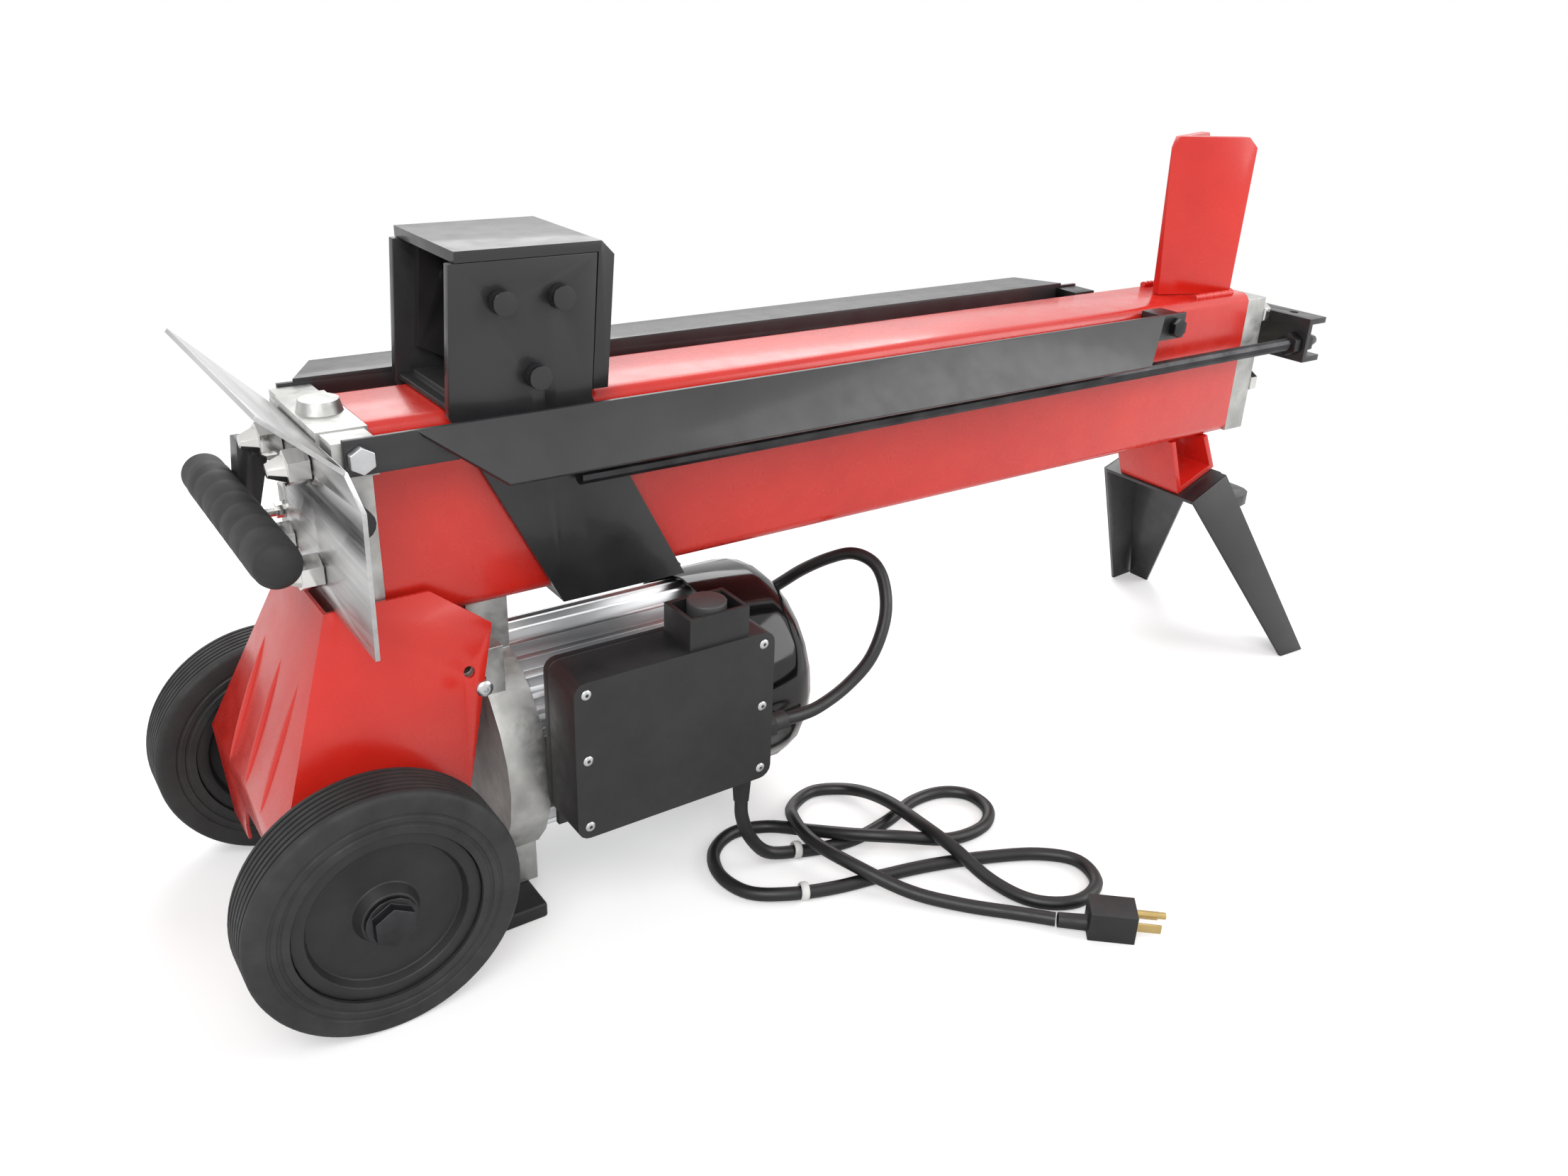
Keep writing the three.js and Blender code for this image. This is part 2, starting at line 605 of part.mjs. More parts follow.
function valveSpool() {
  const x1 = -4;
  const neck = bar("x", SPOOL_RADIUS - 1.5, x1 - SPOOL_LENGTH + 2, x1 - SPOOL_LENGTH + 12, LEVER_Y, SPOOL_Z, SMALL_SIDES);
  const tip = bar("x", SPOOL_RADIUS - 2.5, x1 - SPOOL_LENGTH, x1 - SPOOL_LENGTH + 3, LEVER_Y, SPOOL_Z, SMALL_SIDES);
  const body = bar("x", SPOOL_RADIUS, x1 - SPOOL_LENGTH + 10, x1 - 12, LEVER_Y, SPOOL_Z, SMALL_SIDES);
  return join(tip, neck, body);
}

// ---- log tables ---------------------------------------------------------------------------
function tableWeb() {
  const low = BEAM_TOP - TABLE_WEB_HEIGHT;
  const inner = -TABLE_WEB_Y;
  return box(TABLE_START_X, TABLE_END_X, inner - TABLE_SHEET, inner, low, BEAM_TOP + 1);
}

function tableBoltHoles() {
  const z = BEAM_TOP - TABLE_WEB_HEIGHT / 2;
  const y0 = -TABLE_WEB_Y - TABLE_SHEET - 1;
  return [TABLE_BOLT_X, TABLE_SPACER_X].map((x) =>
    bar("y", TABLE_BOLT_RADIUS + FIT, y0, -TABLE_WEB_Y + 1, x, z, SMALL_SIDES));
}

function nearTable() {
  const fold = -TABLE_WEB_Y - TABLE_SHEET;
  const slope = THREE.MathUtils.degToRad(NEAR_TABLE_SLOPE);
  const top = BEAM_TOP + 1;
  const edgeY = fold - NEAR_TABLE_WIDTH * Math.cos(slope);
  const edgeZ = top - NEAR_TABLE_WIDTH * Math.sin(slope);
  const face = plate([
    [NEAR_TABLE_START_X, fold, top], [NEAR_TABLE_START_X + TABLE_CORNER_CUT, edgeY, edgeZ],
    [NEAR_TABLE_END_X - TABLE_CORNER_CUT, edgeY, edgeZ], [NEAR_TABLE_END_X, fold, top],
  ], TABLE_SHEET);
  return cut(join(tableWeb(), face), ...tableBoltHoles());
}

function farTable() {
  const fold = TABLE_WEB_Y;
  const top = BEAM_TOP + 3;
  const face = prismZ([
    [FAR_TABLE_START_X, fold], [FAR_TABLE_END_X, fold],
    [FAR_TABLE_END_X - TABLE_CORNER_CUT / 2, fold + FAR_TABLE_WIDTH],
    [FAR_TABLE_START_X + TABLE_CORNER_CUT / 2, fold + FAR_TABLE_WIDTH],
  ], top - TABLE_SHEET, top);
  return join(cut(mirrorY(tableWeb()), ...tableBoltHoles().map(mirrorY)), face);
}

function tableBoltHead(x) {
  const z = BEAM_TOP - TABLE_WEB_HEIGHT / 2;
  const face = -TABLE_WEB_Y - TABLE_SHEET - GAP;
  return hexBar("y", TABLE_BOLT_AF, face - TABLE_HEAD_LENGTH, face, x, z);
}

// One long bolt through both ears of the rear casting holds the rear ends of both tables.
function tableThroughBolt() {
  const reach = TABLE_WEB_Y + TABLE_SHEET + GAP + 1;
  const z = BEAM_TOP - TABLE_WEB_HEIGHT / 2;
  const shank = bar("y", TABLE_BOLT_RADIUS, -reach, reach, TABLE_BOLT_X, z, SMALL_SIDES);
  const head = tableBoltHead(TABLE_BOLT_X);
  return join(shank, head, mirrorY(head));
}

// A square post on the beam's side, with the bolt that holds a table's front end to it.
function tablePost() {
  const z = BEAM_TOP - TABLE_WEB_HEIGHT / 2;
  const x = TABLE_SPACER_X;
  const body = box(x - 11, x + 11, -TABLE_WEB_Y + GAP, -HALF - GAP, z - 9, z + 9);
  const shank = bar("y", TABLE_BOLT_RADIUS, -TABLE_WEB_Y - TABLE_SHEET - 1, -HALF - 6, x, z, SMALL_SIDES);
  return join(body, shank, tableBoltHead(x));
}

// ---- ram ----------------------------------------------------------------------------------
function lean(x, z) {
  return x + RAM_LEAN * (z - BEAM_TOP);
}

function ramSideOutline() {
  const keeperLow = BEAM_BOTTOM - GAP - RAM_KEEPER;
  const boxTop = RAM_TOP - RAM_PLATE - GAP;
  const x0 = RAM_REAR_X;
  const x1 = RAM_REAR_X + RAM_BOX_LENGTH;
  return [
    [lean(x0, boxTop), boxTop], [x0, BEAM_TOP], [RAM_KEEPER_REAR_X, keeperLow],
    [RAM_KEEPER_FRONT_X, keeperLow], [154, 276], [x1, BEAM_TOP], [lean(x1, boxTop), boxTop],
  ];
}

function ramScrewPlaces() {
  const front = RAM_REAR_X + RAM_BOX_LENGTH;
  return [[front - 54, 391], [front - 19, 391], [front - 35, 348]];
}

function ramCarriage() {
  const inner = RAM_OUTER_Y - RAM_PLATE;
  const side = prismY(ramSideOutline(), -RAM_OUTER_Y, -inner);
  const keeper = box(RAM_KEEPER_REAR_X, RAM_KEEPER_FRONT_X, -inner - 1, inner + 1,
    BEAM_BOTTOM - GAP - RAM_KEEPER, BEAM_BOTTOM - GAP);
  const holes = ramScrewPlaces().map(([x, z]) => bar("y", SCREW_RADIUS + FIT, -60, 60, x, z, SMALL_SIDES));
  return cut(join(side, mirrorY(side), keeper), ...holes);
}

// Pusher plate: top and face bent from one sheet, with two inner cheeks welded below the top.
function ramPusher() {
  const x0 = RAM_REAR_X + 3;
  const x1 = RAM_REAR_X + RAM_BOX_LENGTH + GAP;
  const low = BEAM_TOP + 4;
  const top = RAM_TOP;
  const face = prismY([
    [lean(x1, low), low], [lean(x1, low) + RAM_FACE_THICKNESS - GAP, low],
    [lean(x1, top) + RAM_FACE_THICKNESS - GAP, top - 8], [lean(x1, top) + RAM_FACE_THICKNESS - 8, top],
    [lean(x0, top), top], [lean(x0, top), top - RAM_PLATE], [lean(x1, top), top - RAM_PLATE],
  ], -RAM_OUTER_Y, RAM_OUTER_Y);
  const outer = RAM_OUTER_Y - RAM_PLATE - GAP;
  const cheek = prismY([
    [lean(x0 + 16, top) - 6, top - 3], [lean(x0 + 16, low) - 6, low + 16], [x0 + 30, low + 6],
    [lean(x1, low) + 2, low + 6], [lean(x1, top) + 2, top - 3],
  ], -outer, -outer + RAM_PLATE);
  const screws = ramScrewPlaces().map(([x, z]) => ramScrew(x, z));
  return join(face, cheek, mirrorY(cheek), ...screws, ...screws.map(mirrorY));
}

function ramScrew(x, z) {
  const y1 = -RAM_OUTER_Y - GAP;
  const head = bar("y", SCREW_HEAD_RADIUS, y1 - SCREW_HEAD_LENGTH, y1, x, z, 12);
  const shank = bar("y", SCREW_RADIUS, y1 - 1, -RAM_OUTER_Y + 2 * RAM_PLATE + 3, x, z, SMALL_SIDES);
  return join(head, shank);
}

function guideShoe() {
  const x0 = RAM_REAR_X + 2;
  const x1 = RAM_REAR_X + RAM_BOX_LENGTH - 3;
  const half = RAM_OUTER_Y - RAM_PLATE - GAP;
  const sole = box(x0, x1, -half, half, BEAM_TOP + GAP, BEAM_TOP + 4);
  const slab = box(x0 + 6, x1 - 2, -half + RAM_PLATE + 2, half - RAM_PLATE - 2, BEAM_TOP + 3, BEAM_TOP + 8);
  return join(sole, slab);
}

// A tie rod with its inner nut and the domed nut that clamps the crossbar.
function tieRod() {
  const innerX = CROSSBAR_AT - GAP - TIE_NUT_LENGTH;
  const outerX = CROSSBAR_AT + CROSSBAR_SHEET + GAP;
  const body = bar("x", TIE_RADIUS, TIE_START_X, outerX + 1, -TIE_Y, CYLINDER_Z, SMALL_SIDES);
  const inner = hexBar("x", TIE_NUT_AF, innerX, innerX + TIE_NUT_LENGTH, -TIE_Y, CYLINDER_Z);
  const outer = hexBar("x", TIE_NUT_AF, outerX, outerX + TIE_NUT_LENGTH, -TIE_Y, CYLINDER_Z);
  const dome = bar("x", 8, outerX + TIE_NUT_LENGTH - 1, TIE_END_X, -TIE_Y, CYLINDER_Z, SMALL_SIDES, 4);
  return join(body, inner, outer, dome);
}

function crossbar() {
  const x0 = CROSSBAR_AT;
  const x1 = x0 + CROSSBAR_DEPTH;
  const middle = CYLINDER_Z + CROSSBAR_LIFT;
  const low = middle - CROSSBAR_HALF_HEIGHT;
  const high = middle + CROSSBAR_HALF_HEIGHT;
  const outline = strip([[x1, high], [x0, high], [x0, low], [x1, low]], CROSSBAR_SHEET);
  const channel = prismY(outline, -CROSSBAR_HALF_LENGTH, CROSSBAR_HALF_LENGTH);
  const tieHoles = [-TIE_Y, TIE_Y].map((y) =>
    bar("x", TIE_RADIUS + GAP, x0 - 1, x0 + CROSSBAR_SHEET + 1, y, CYLINDER_Z, SMALL_SIDES));
  const rodHole = bar("x", ROD_THREAD_RADIUS + GAP, x0 - 1, x0 + CROSSBAR_SHEET + 1, 0, CYLINDER_Z);
  const drain = bar("z", 4, high - CROSSBAR_SHEET - 1, high + 1, x0 + CROSSBAR_DEPTH / 2 + 2, -36, SMALL_SIDES);
  return cut(channel, ...tieHoles, rodHole, drain);
}

// ---- wedge --------------------------------------------------------------------------------
function wedge() {
  const foot = BEAM_TOP + GAP;
  const angle = THREE.MathUtils.degToRad(WEDGE_HALF_ANGLE);
  const halfBack = WEDGE_LENGTH * Math.tan(angle);
  const inner = WEDGE_PLATE / Math.sin(angle);
  const plan = [
    [0, 0], [WEDGE_LENGTH, -halfBack], [WEDGE_LENGTH, -halfBack + WEDGE_PLATE], [inner, 0],
    [WEDGE_LENGTH, halfBack - WEDGE_PLATE], [WEDGE_LENGTH, halfBack],
  ].map(([x, y]) => [x + WEDGE_EDGE_X, y]);
  const body = prismZ(plan, foot, WEDGE_TOP);
  const x0 = WEDGE_EDGE_X;
  const x1 = WEDGE_EDGE_X + WEDGE_LENGTH;
  const trim = prismY([
    [x0 + WEDGE_LEAN, foot], [x0 + 1, WEDGE_TOP - 8], [x0 + 7, WEDGE_TOP], [x1 - 8, WEDGE_TOP],
    [x1, WEDGE_TOP - 8], [x1 - 2, foot],
  ], -HALF - 10, HALF + 10);
  const flank = box(x0 - 1, x1 + 1, -HALF + 2, HALF - 2, foot - 1, WEDGE_TOP + 1);
  return common(common(body, trim), flank);
}

// ---- front bracket, leg and carrying handle -----------------------------------------------
const BRACKET_X = BEAM_LENGTH - 68;      // rear corner under the beam
function bracketPath() {
  const z = BEAM_BOTTOM - GAP;
  return [
    [BRACKET_X, z], [BRACKET_X + 21, z - 51], [BRACKET_X + 66, z - 33], [BRACKET_X + 48, z],
  ];
}

function frontBracket() {
  const outline = strip(bracketPath(), BRACKET_SHEET);
  const solid = prismY(outline, -BRACKET_HALF_WIDTH, BRACKET_HALF_WIDTH);
  const above = box(BRACKET_X - 50, BRACKET_X + 120, -60, 60, BEAM_BOTTOM - GAP, BEAM_BOTTOM + 30);
  return cut(solid, above, legBoltTool(5 + FIT));
}

function legBoltMiddle() {
  const [, low, high] = bracketPath();
  return new THREE.Vector3((low[0] + high[0]) / 2, 0, (low[1] + high[1]) / 2);
}

function legBoltAxis() {
  const [, low, high] = bracketPath();
  return new THREE.Vector3(-(high[1] - low[1]), 0, high[0] - low[0]).normalize();
}

// A round or six-sided bar on the leg bolt's axis, between two distances from the bracket's floor.
function onLegBolt(radius, from, to, sides) {
  const geometry = new THREE.CylinderGeometry(radius, radius, to - from, sides);
  geometry.translate(0, (from + to) / 2, 0);
  const turn = new THREE.Quaternion().setFromUnitVectors(Y, legBoltAxis());
  const middle = legBoltMiddle();
  return geometry.applyQuaternion(turn).translate(middle.x, middle.y, middle.z);
}

function legBoltTool(radius) {
  return onLegBolt(radius, -20, 20, SMALL_SIDES);
}

function legBolt() {
  const underside = -GAP - LEG_SHEET - GAP;
  const head = onLegBolt(8.5, underside - 6, underside, 6);
  const shank = onLegBolt(5, underside - 1, BRACKET_SHEET + 12, SMALL_SIDES);
  const nut = onLegBolt(9, BRACKET_SHEET + GAP, BRACKET_SHEET + 8, 6);
  return join(head, shank, nut);
}

// The leg is one folded sheet: a saddle plate, a raked front plate split into two shins, and an
// outer web on each shin. The saddle's slope follows the bracket's floor.
const SADDLE_HALF = 49;
function legPlaces() {
  const [, low, high] = bracketPath();
  const along = new THREE.Vector2(high[0] - low[0], high[1] - low[1]).normalize();
  const down = new THREE.Vector2(along.y, -along.x).multiplyScalar(GAP);
  const rear = [low[0] + down.x - 2 * along.x, low[1] + down.y - 2 * along.y];
  const front = [high[0] + down.x - 4 * along.x, high[1] + down.y - 4 * along.y];
  const footFront = BEAM_LENGTH + 83;
  return { rear, front, footFront, footRear: footFront - LEG_FOOT_LENGTH };
}

function frontLeg() {
  const { rear, front, footFront, footRear } = legPlaces();
  const saddle = plate([
    [rear[0], -SADDLE_HALF, rear[1]], [front[0], -SADDLE_HALF, front[1]],
    [front[0], SADDLE_HALF, front[1]], [rear[0], SADDLE_HALF, rear[1]],
  ], LEG_SHEET);
  const crotch = 0.26;
  const crotchX = front[0] + (footFront - front[0]) * crotch;
  const crotchZ = front[1] * (1 - crotch);
  const shinInner = LEG_HALF_SPREAD - 22;
  const face = plate([
    [front[0], -SADDLE_HALF, front[1]], [footFront, -LEG_HALF_SPREAD, 0],
    [footFront, -shinInner, 0], [crotchX, -5, crotchZ], [crotchX, 5, crotchZ], [footFront, shinInner, 0],
    [footFront, LEG_HALF_SPREAD, 0], [front[0], SADDLE_HALF, front[1]],
  ], LEG_SHEET);
  const web = plate([
    [rear[0], -SADDLE_HALF, rear[1]], [footRear, -LEG_HALF_SPREAD, 0],
    [footFront, -LEG_HALF_SPREAD, 0], [front[0], -SADDLE_HALF, front[1]],
  ], LEG_SHEET);
  const floor = box(footRear - 60, footFront + 60, -150, 150, -20, 0);
  return cut(join(saddle, face, web, mirrorY(web)), floor, legBoltTool(5 + FIT), carryBoltTool(3 + FIT));
}

// Directions on the leg's raked front plate.
function rake() {
  const { front, footFront } = legPlaces();
  const down = new THREE.Vector3(footFront - front[0], 0, -front[1]).normalize();
  const out = new THREE.Vector3(-down.z, 0, down.x);
  const origin = new THREE.Vector3(front[0], 0, front[1]);
  return { down, out, origin };
}

// A prism on the raked plate: the outline is [down the plate, across], its depth points outwards.
function onRake(outline, from, depth, holes) {
  const { down, out, origin } = rake();
  const across = new THREE.Vector3().crossVectors(out, down);
  return prism(outline, [down, across, out], from, depth, holes)
    .translate(origin.x, origin.y, origin.z);
}

const CARRY_BOLT = [18, 26];     // down the plate, and to each side
function carryBoltPlaces() {
  return [[CARRY_BOLT[0], -CARRY_BOLT[1]], [CARRY_BOLT[0], CARRY_BOLT[1]]];
}

function circleAt([u, v], radius, sides = SMALL_SIDES) {
  const points = [];
  for (let i = 0; i < sides; i += 1) {
    const angle = (2 * Math.PI * i) / sides;
    points.push([u + radius * Math.cos(angle), v + radius * Math.sin(angle)]);
  }
  return points;
}

function carryBoltTool(radius) {
  const [first, second] = carryBoltPlaces();
  return join(onRake(circleAt(first, radius), -15, 40), onRake(circleAt(second, radius), -15, 40));
}

function carryHandle() {
  const foot = prism([
    [6, -38], [56, -38], [56, 38], [6, 38],
  ], rakeBasis(), GAP, 6).translate(...rake().origin.toArray());
  const [, low, high] = bracketPath();
  const tip = high[0] + 66;
  const z = low[1] - 22;
  const loop = roundedRect(high[0] + 2, tip, -38, 38, 20);
  const hole = roundedRect(high[0] + 14, tip - 14, -24, 24, 9);
  const bow = prismZ(loop, z - CARRY_THICKNESS / 2, z + CARRY_THICKNESS / 2, [hole]);
  const behind = onRake([[-60, -90], [170, -90], [170, 90], [-60, 90]], GAP - 80, 80);
  return join(cut(bow, behind), foot, carryBolt(-1), carryBolt(1));
}

function rakeBasis() {
  const { down, out } = rake();
  return [down, new THREE.Vector3().crossVectors(out, down), out];
}

function carryBolt(side) {
  const place = [CARRY_BOLT[0], side * CARRY_BOLT[1]];
  const hexagon = circleAt(place, 5.8, 6);
  const shank = onRake(circleAt(place, 3), -LEG_SHEET - 4, LEG_SHEET + 12);
  const head = onRake(hexagon, GAP + 6 + GAP, 4);
  const nut = onRake(hexagon, -LEG_SHEET - GAP - 4, 4);
  return join(shank, head, nut);
}

// ---- wheels and axle ----------------------------------------------------------------------
function placeWheel(geometry) {
  return geometry.translate(AXLE_X, -WHEEL_INNER_Y - WHEEL_WIDTH / 2, WHEEL_RADIUS);
}

function tyre() {
  const half = WHEEL_WIDTH / 2;
  const profile = [
    [TYRE_INNER_RADIUS, -half + 1], [WHEEL_RADIUS - 6, -half], [WHEEL_RADIUS, -half + 6],
    [WHEEL_RADIUS, half - 6], [WHEEL_RADIUS - 6, half], [TYRE_INNER_RADIUS, half - 1],
    [TYRE_INNER_RADIUS, -half + 1],
  ];
  return placeWheel(turned(profile, WHEEL_SIDES));
}

function hub() {
  const half = WHEEL_WIDTH / 2;
  const rim = TYRE_INNER_RADIUS - GAP;
  const bore = AXLE_RADIUS + GAP;
  const profile = [
    [bore, -half], [16, -half], [19, -half + 8], [44, -half + 8], [46, -half + 2], [rim, -half + 2],
    [rim, half - 2], [46, half - 2], [44, half - 8], [19, half - 8], [16, half], [bore, half],
    [bore, -half],
  ];
  return placeWheel(turned(profile, WHEEL_SIDES));
}

// The axle with the capped bolt and washer that keep a wheel on each end.
function axle() {
  const reach = WHEEL_OUTER_Y + GAP + 1;
  const shaft = bar("y", AXLE_RADIUS, -reach, reach, AXLE_X, WHEEL_RADIUS);
  const y1 = -WHEEL_OUTER_Y - GAP;
  const head = hexBar("y", AXLE_BOLT_AF, y1 - AXLE_BOLT_LENGTH, y1 - 2, AXLE_X, WHEEL_RADIUS);
  const washer = bar("y", 15, y1 - 2.5, y1, AXLE_X, WHEEL_RADIUS);
  return join(shaft, head, washer, mirrorY(head), mirrorY(washer));
}

// ---- rear skirt ---------------------------------------------------------------------------
function skirtSection(inset) {
  const rise = inset > 0 ? 20 : 0;
  const right = [
    [SKIRT_FOOT_HALF - inset, SKIRT_FOOT - rise], [SKIRT_WAIST_HALF - inset, SKIRT_WAIST],
    [SKIRT_TOP_HALF - inset, SKIRT_TOP], [SKIRT_TOP_HALF - inset, SKIRT_TOP + rise],
  ];
  const points = rise > 0 ? right : right.slice(0, 3);
  return [...points, ...points.map(([y, z]) => [-y, z]).reverse()];
}

// A hood folded from sheet: a flared back and two sides, open above, in front and below.
function rearSkirt() {
  const outer = common(
    prismX(skirtSection(0), -100, 80),
    prismY([
      [-80, SKIRT_FOOT], [-16, SKIRT_FOOT], [24, SKIRT_WAIST], [57, 204], [24, SKIRT_TOP],
      [-36, SKIRT_TOP], [-83, SKIRT_WAIST],
    ], -100, 100));
  const inner = common(
    prismX(skirtSection(SKIRT_SHEET * 1.06), -100, 90),
    prismY([
      [-80 + SKIRT_SHEET, 20], [90, 20], [90, 260], [-36 + SKIRT_SHEET, 260],
      [-36 + SKIRT_SHEET, SKIRT_TOP], [-83 + SKIRT_SHEET, SKIRT_WAIST], [-80 + SKIRT_SHEET, SKIRT_FOOT],
    ], -100, 100));
  const arch = prismX([[-36, 40], [36, 40], [34, 60], [20, 84], [-20, 84], [-34, 60]], -100, -50);
  const axleHole = bar("y", AXLE_RADIUS + FIT, -100, 100, AXLE_X, WHEEL_RADIUS);
  const screwHole = bar("y", 3 + FIT, -100, 100, SKIRT_SCREW_X, SKIRT_SCREW_Z, SMALL_SIDES);
  return cut(outer, inner, arch, axleHole, screwHole);
}

const SKIRT_SCREW_X = 38;
const SKIRT_SCREW_Z = 180;
function skirtSideY(z) {
  const slope = (SKIRT_WAIST_HALF - SKIRT_TOP_HALF) / (SKIRT_TOP - SKIRT_WAIST);
  return -SKIRT_TOP_HALF - (SKIRT_TOP - z) * slope;
}

// ---- pump and motor -----------------------------------------------------------------------
function motorFlange() {
  const x0 = MOTOR_START_X - FLANGE_LENGTH;
  const x1 = MOTOR_START_X - GAP;
  const disc = bar("x", FLANGE_RADIUS, x0, x1, 0, MOTOR_Z, ROUND_SIDES);
  const saddle = box(x0, x1, -26, 26, MOTOR_Z + 40, BEAM_BOTTOM - GAP);
  const legs = box(x0, x1, -50, 50, FOOT_HEIGHT + GAP, MOTOR_Z - 30);
  const screwY = skirtSideY(SKIRT_SCREW_Z + 9) + SKIRT_SHEET + 0.5;
  const ear = box(30, x0 + 4, screwY, screwY + 12, SKIRT_SCREW_Z - 9, SKIRT_SCREW_Z + 9);
  const arm = box(x0, x0 + 12, screwY, screwY + 34, SKIRT_SCREW_Z - 30, SKIRT_SCREW_Z + 9);
  const screwHole = bar("y", 3 + FIT, -100, 100, SKIRT_SCREW_X, SKIRT_SCREW_Z, SMALL_SIDES);
  const gearPocket = join(
    bar("x", gearTip() + GAP, x0 + 7, x0 + 7 + GEAR_WIDTH + 2 * GAP, 0, MOTOR_Z, ROUND_SIDES),
    bar("x", gearTip() + GAP, x0 + 7, x0 + 7 + GEAR_WIDTH + 2 * GAP, 0, MOTOR_Z + GEAR_CENTRES, ROUND_SIDES));
  const open = join(
    bar("x", SHAFT_RADIUS + GAP, x0 + 2, x1 + 1, 0, MOTOR_Z),
    bar("x", BEARING_RADIUS + GAP, x1 - BEARING_WIDTH + 3, x1 + 1, 0, MOTOR_Z, ROUND_SIDES),
    bar("x", 4 + GAP, x0 + 2, x1 - 2, 0, MOTOR_Z + GEAR_CENTRES, SMALL_SIDES));
  const solid = join(disc, saddle, legs, ear, mirrorY(ear), arm, mirrorY(arm));
  return cut(solid, screwHole, gearPocket, open);
}

function gearTip() {
  return GEAR_CENTRES / 2 + GEAR_TOOTH - 0.8;
}

// A spur gear with straight-flanked teeth; half a tooth of turn puts a gap where a tooth was.
function gearBody(centreZ, turn) {
  const pitch = GEAR_CENTRES / 2;
  const outline = [];
  for (let i = 0; i < GEAR_TEETH; i += 1) {
    const middle = ((i + turn) * 2 * Math.PI) / GEAR_TEETH;
    const step = (2 * Math.PI) / GEAR_TEETH;
    const ring = [[pitch - GEAR_TOOTH, -0.3], [gearTip(), -0.1], [gearTip(), 0.1], [pitch - GEAR_TOOTH, 0.3]];
    for (const [radius, share] of ring) {
      const angle = middle + share * step;
      outline.push([radius * Math.cos(angle), centreZ + radius * Math.sin(angle)]);
    }
  }
  const x0 = MOTOR_START_X - FLANGE_LENGTH + 7 + GAP;
  return prismX(outline, x0, x0 + GEAR_WIDTH);
}

function driveGear() {
  const bore = bar("x", SHAFT_RADIUS - 2 + GAP, 0, 100, 0, MOTOR_Z);
  return cut(gearBody(MOTOR_Z, 0), bore);
}

function drivenGear() {
  const x0 = MOTOR_START_X - FLANGE_LENGTH + 3;
  const pin = bar("x", 4, x0, x0 + GEAR_WIDTH + 8, 0, MOTOR_Z + GEAR_CENTRES, SMALL_SIDES);
  return join(gearBody(MOTOR_Z + GEAR_CENTRES, 0.5), pin);
}

function motorHousing() {
  const outline = [];
  const steps = MOTOR_FINS * 4;
  for (let i = 0; i < steps; i += 1) {
    const radius = i % 4 < 2 ? MOTOR_FIN_RADIUS : MOTOR_SHELL_RADIUS;
    const angle = (2 * Math.PI * i) / steps;
    outline.push([radius * Math.cos(angle), MOTOR_Z + radius * Math.sin(angle)]);
  }
  const bore = circleAt([0, MOTOR_Z], MOTOR_BORE_RADIUS, ROUND_SIDES);
  const body = prismX(outline, MOTOR_START_X, MOTOR_END_X - GAP, [bore]);
  const pad = box(MOTOR_START_X + 8, MOTOR_END_X - 22, BOX_BACK_Y + GAP, -MOTOR_SHELL_RADIUS + 3,
    MOTOR_Z - 6, MOTOR_Z + 62);
  const bore2 = bar("x", MOTOR_BORE_RADIUS, 0, 400, 0, MOTOR_Z, ROUND_SIDES);
  return cut(join(body, pad), bore2);
}

function statorX() {
  const middle = MOTOR_START_X + MOTOR_LENGTH / 2;
  return [middle - STATOR_LENGTH / 2, middle + STATOR_LENGTH / 2];
}

function stator() {
  const [x0, x1] = statorX();
  const core = bar("x", MOTOR_BORE_RADIUS - GAP - 0.2, x0, x1, 0, MOTOR_Z, ROUND_SIDES);
  const windings = bar("x", 50, x0 - 14, x1 + 14, 0, MOTOR_Z, ROUND_SIDES);
  return cut(join(core, windings), bar("x", ROTOR_RADIUS + AIR_GAP, 0, 400, 0, MOTOR_Z, ROUND_SIDES));
}

function endShield() {
  const x0 = MOTOR_END_X - 16;
  const disc = bar("x", MOTOR_BORE_RADIUS - GAP - 0.2, x0, MOTOR_END_X - 4, 0, MOTOR_Z, ROUND_SIDES);
  const lip = bar("x", MOTOR_FIN_RADIUS, MOTOR_END_X, MOTOR_END_X + 3, 0, MOTOR_Z, ROUND_SIDES);
  const neck = bar("x", MOTOR_BORE_RADIUS - 4, MOTOR_END_X - 6, MOTOR_END_X + 1, 0, MOTOR_Z, ROUND_SIDES);
  const seat = bar("x", BEARING_RADIUS + GAP, x0 - 1, x0 + BEARING_WIDTH, 0, MOTOR_Z, ROUND_SIDES);
  const shaft = bar("x", SHAFT_RADIUS + GAP, x0 - 1, MOTOR_END_X + 5, 0, MOTOR_Z);
  return cut(join(disc, neck, lip), seat, shaft);
}

function bearing(x0) {
  return sleeve("x", BEARING_RADIUS, SHAFT_RADIUS + GAP, x0, x0 + BEARING_WIDTH - 1, 0, MOTOR_Z, 32);
}

function rotorShaft() {
  const x0 = MOTOR_START_X - FLANGE_LENGTH + 4;
  const gearEnd = x0 + 3 + GEAR_WIDTH + 1;
  const pinion = bar("x", SHAFT_RADIUS - 2, x0, gearEnd + 2, 0, MOTOR_Z);
  const body = bar("x", SHAFT_RADIUS, gearEnd, MOTOR_END_X + 30, 0, MOTOR_Z);
  const [coreStart, coreEnd] = statorX();
  const core = bar("x", ROTOR_RADIUS, coreStart - 3, coreEnd + 3, 0, MOTOR_Z, ROUND_SIDES);
  return join(pinion, body, core);
}

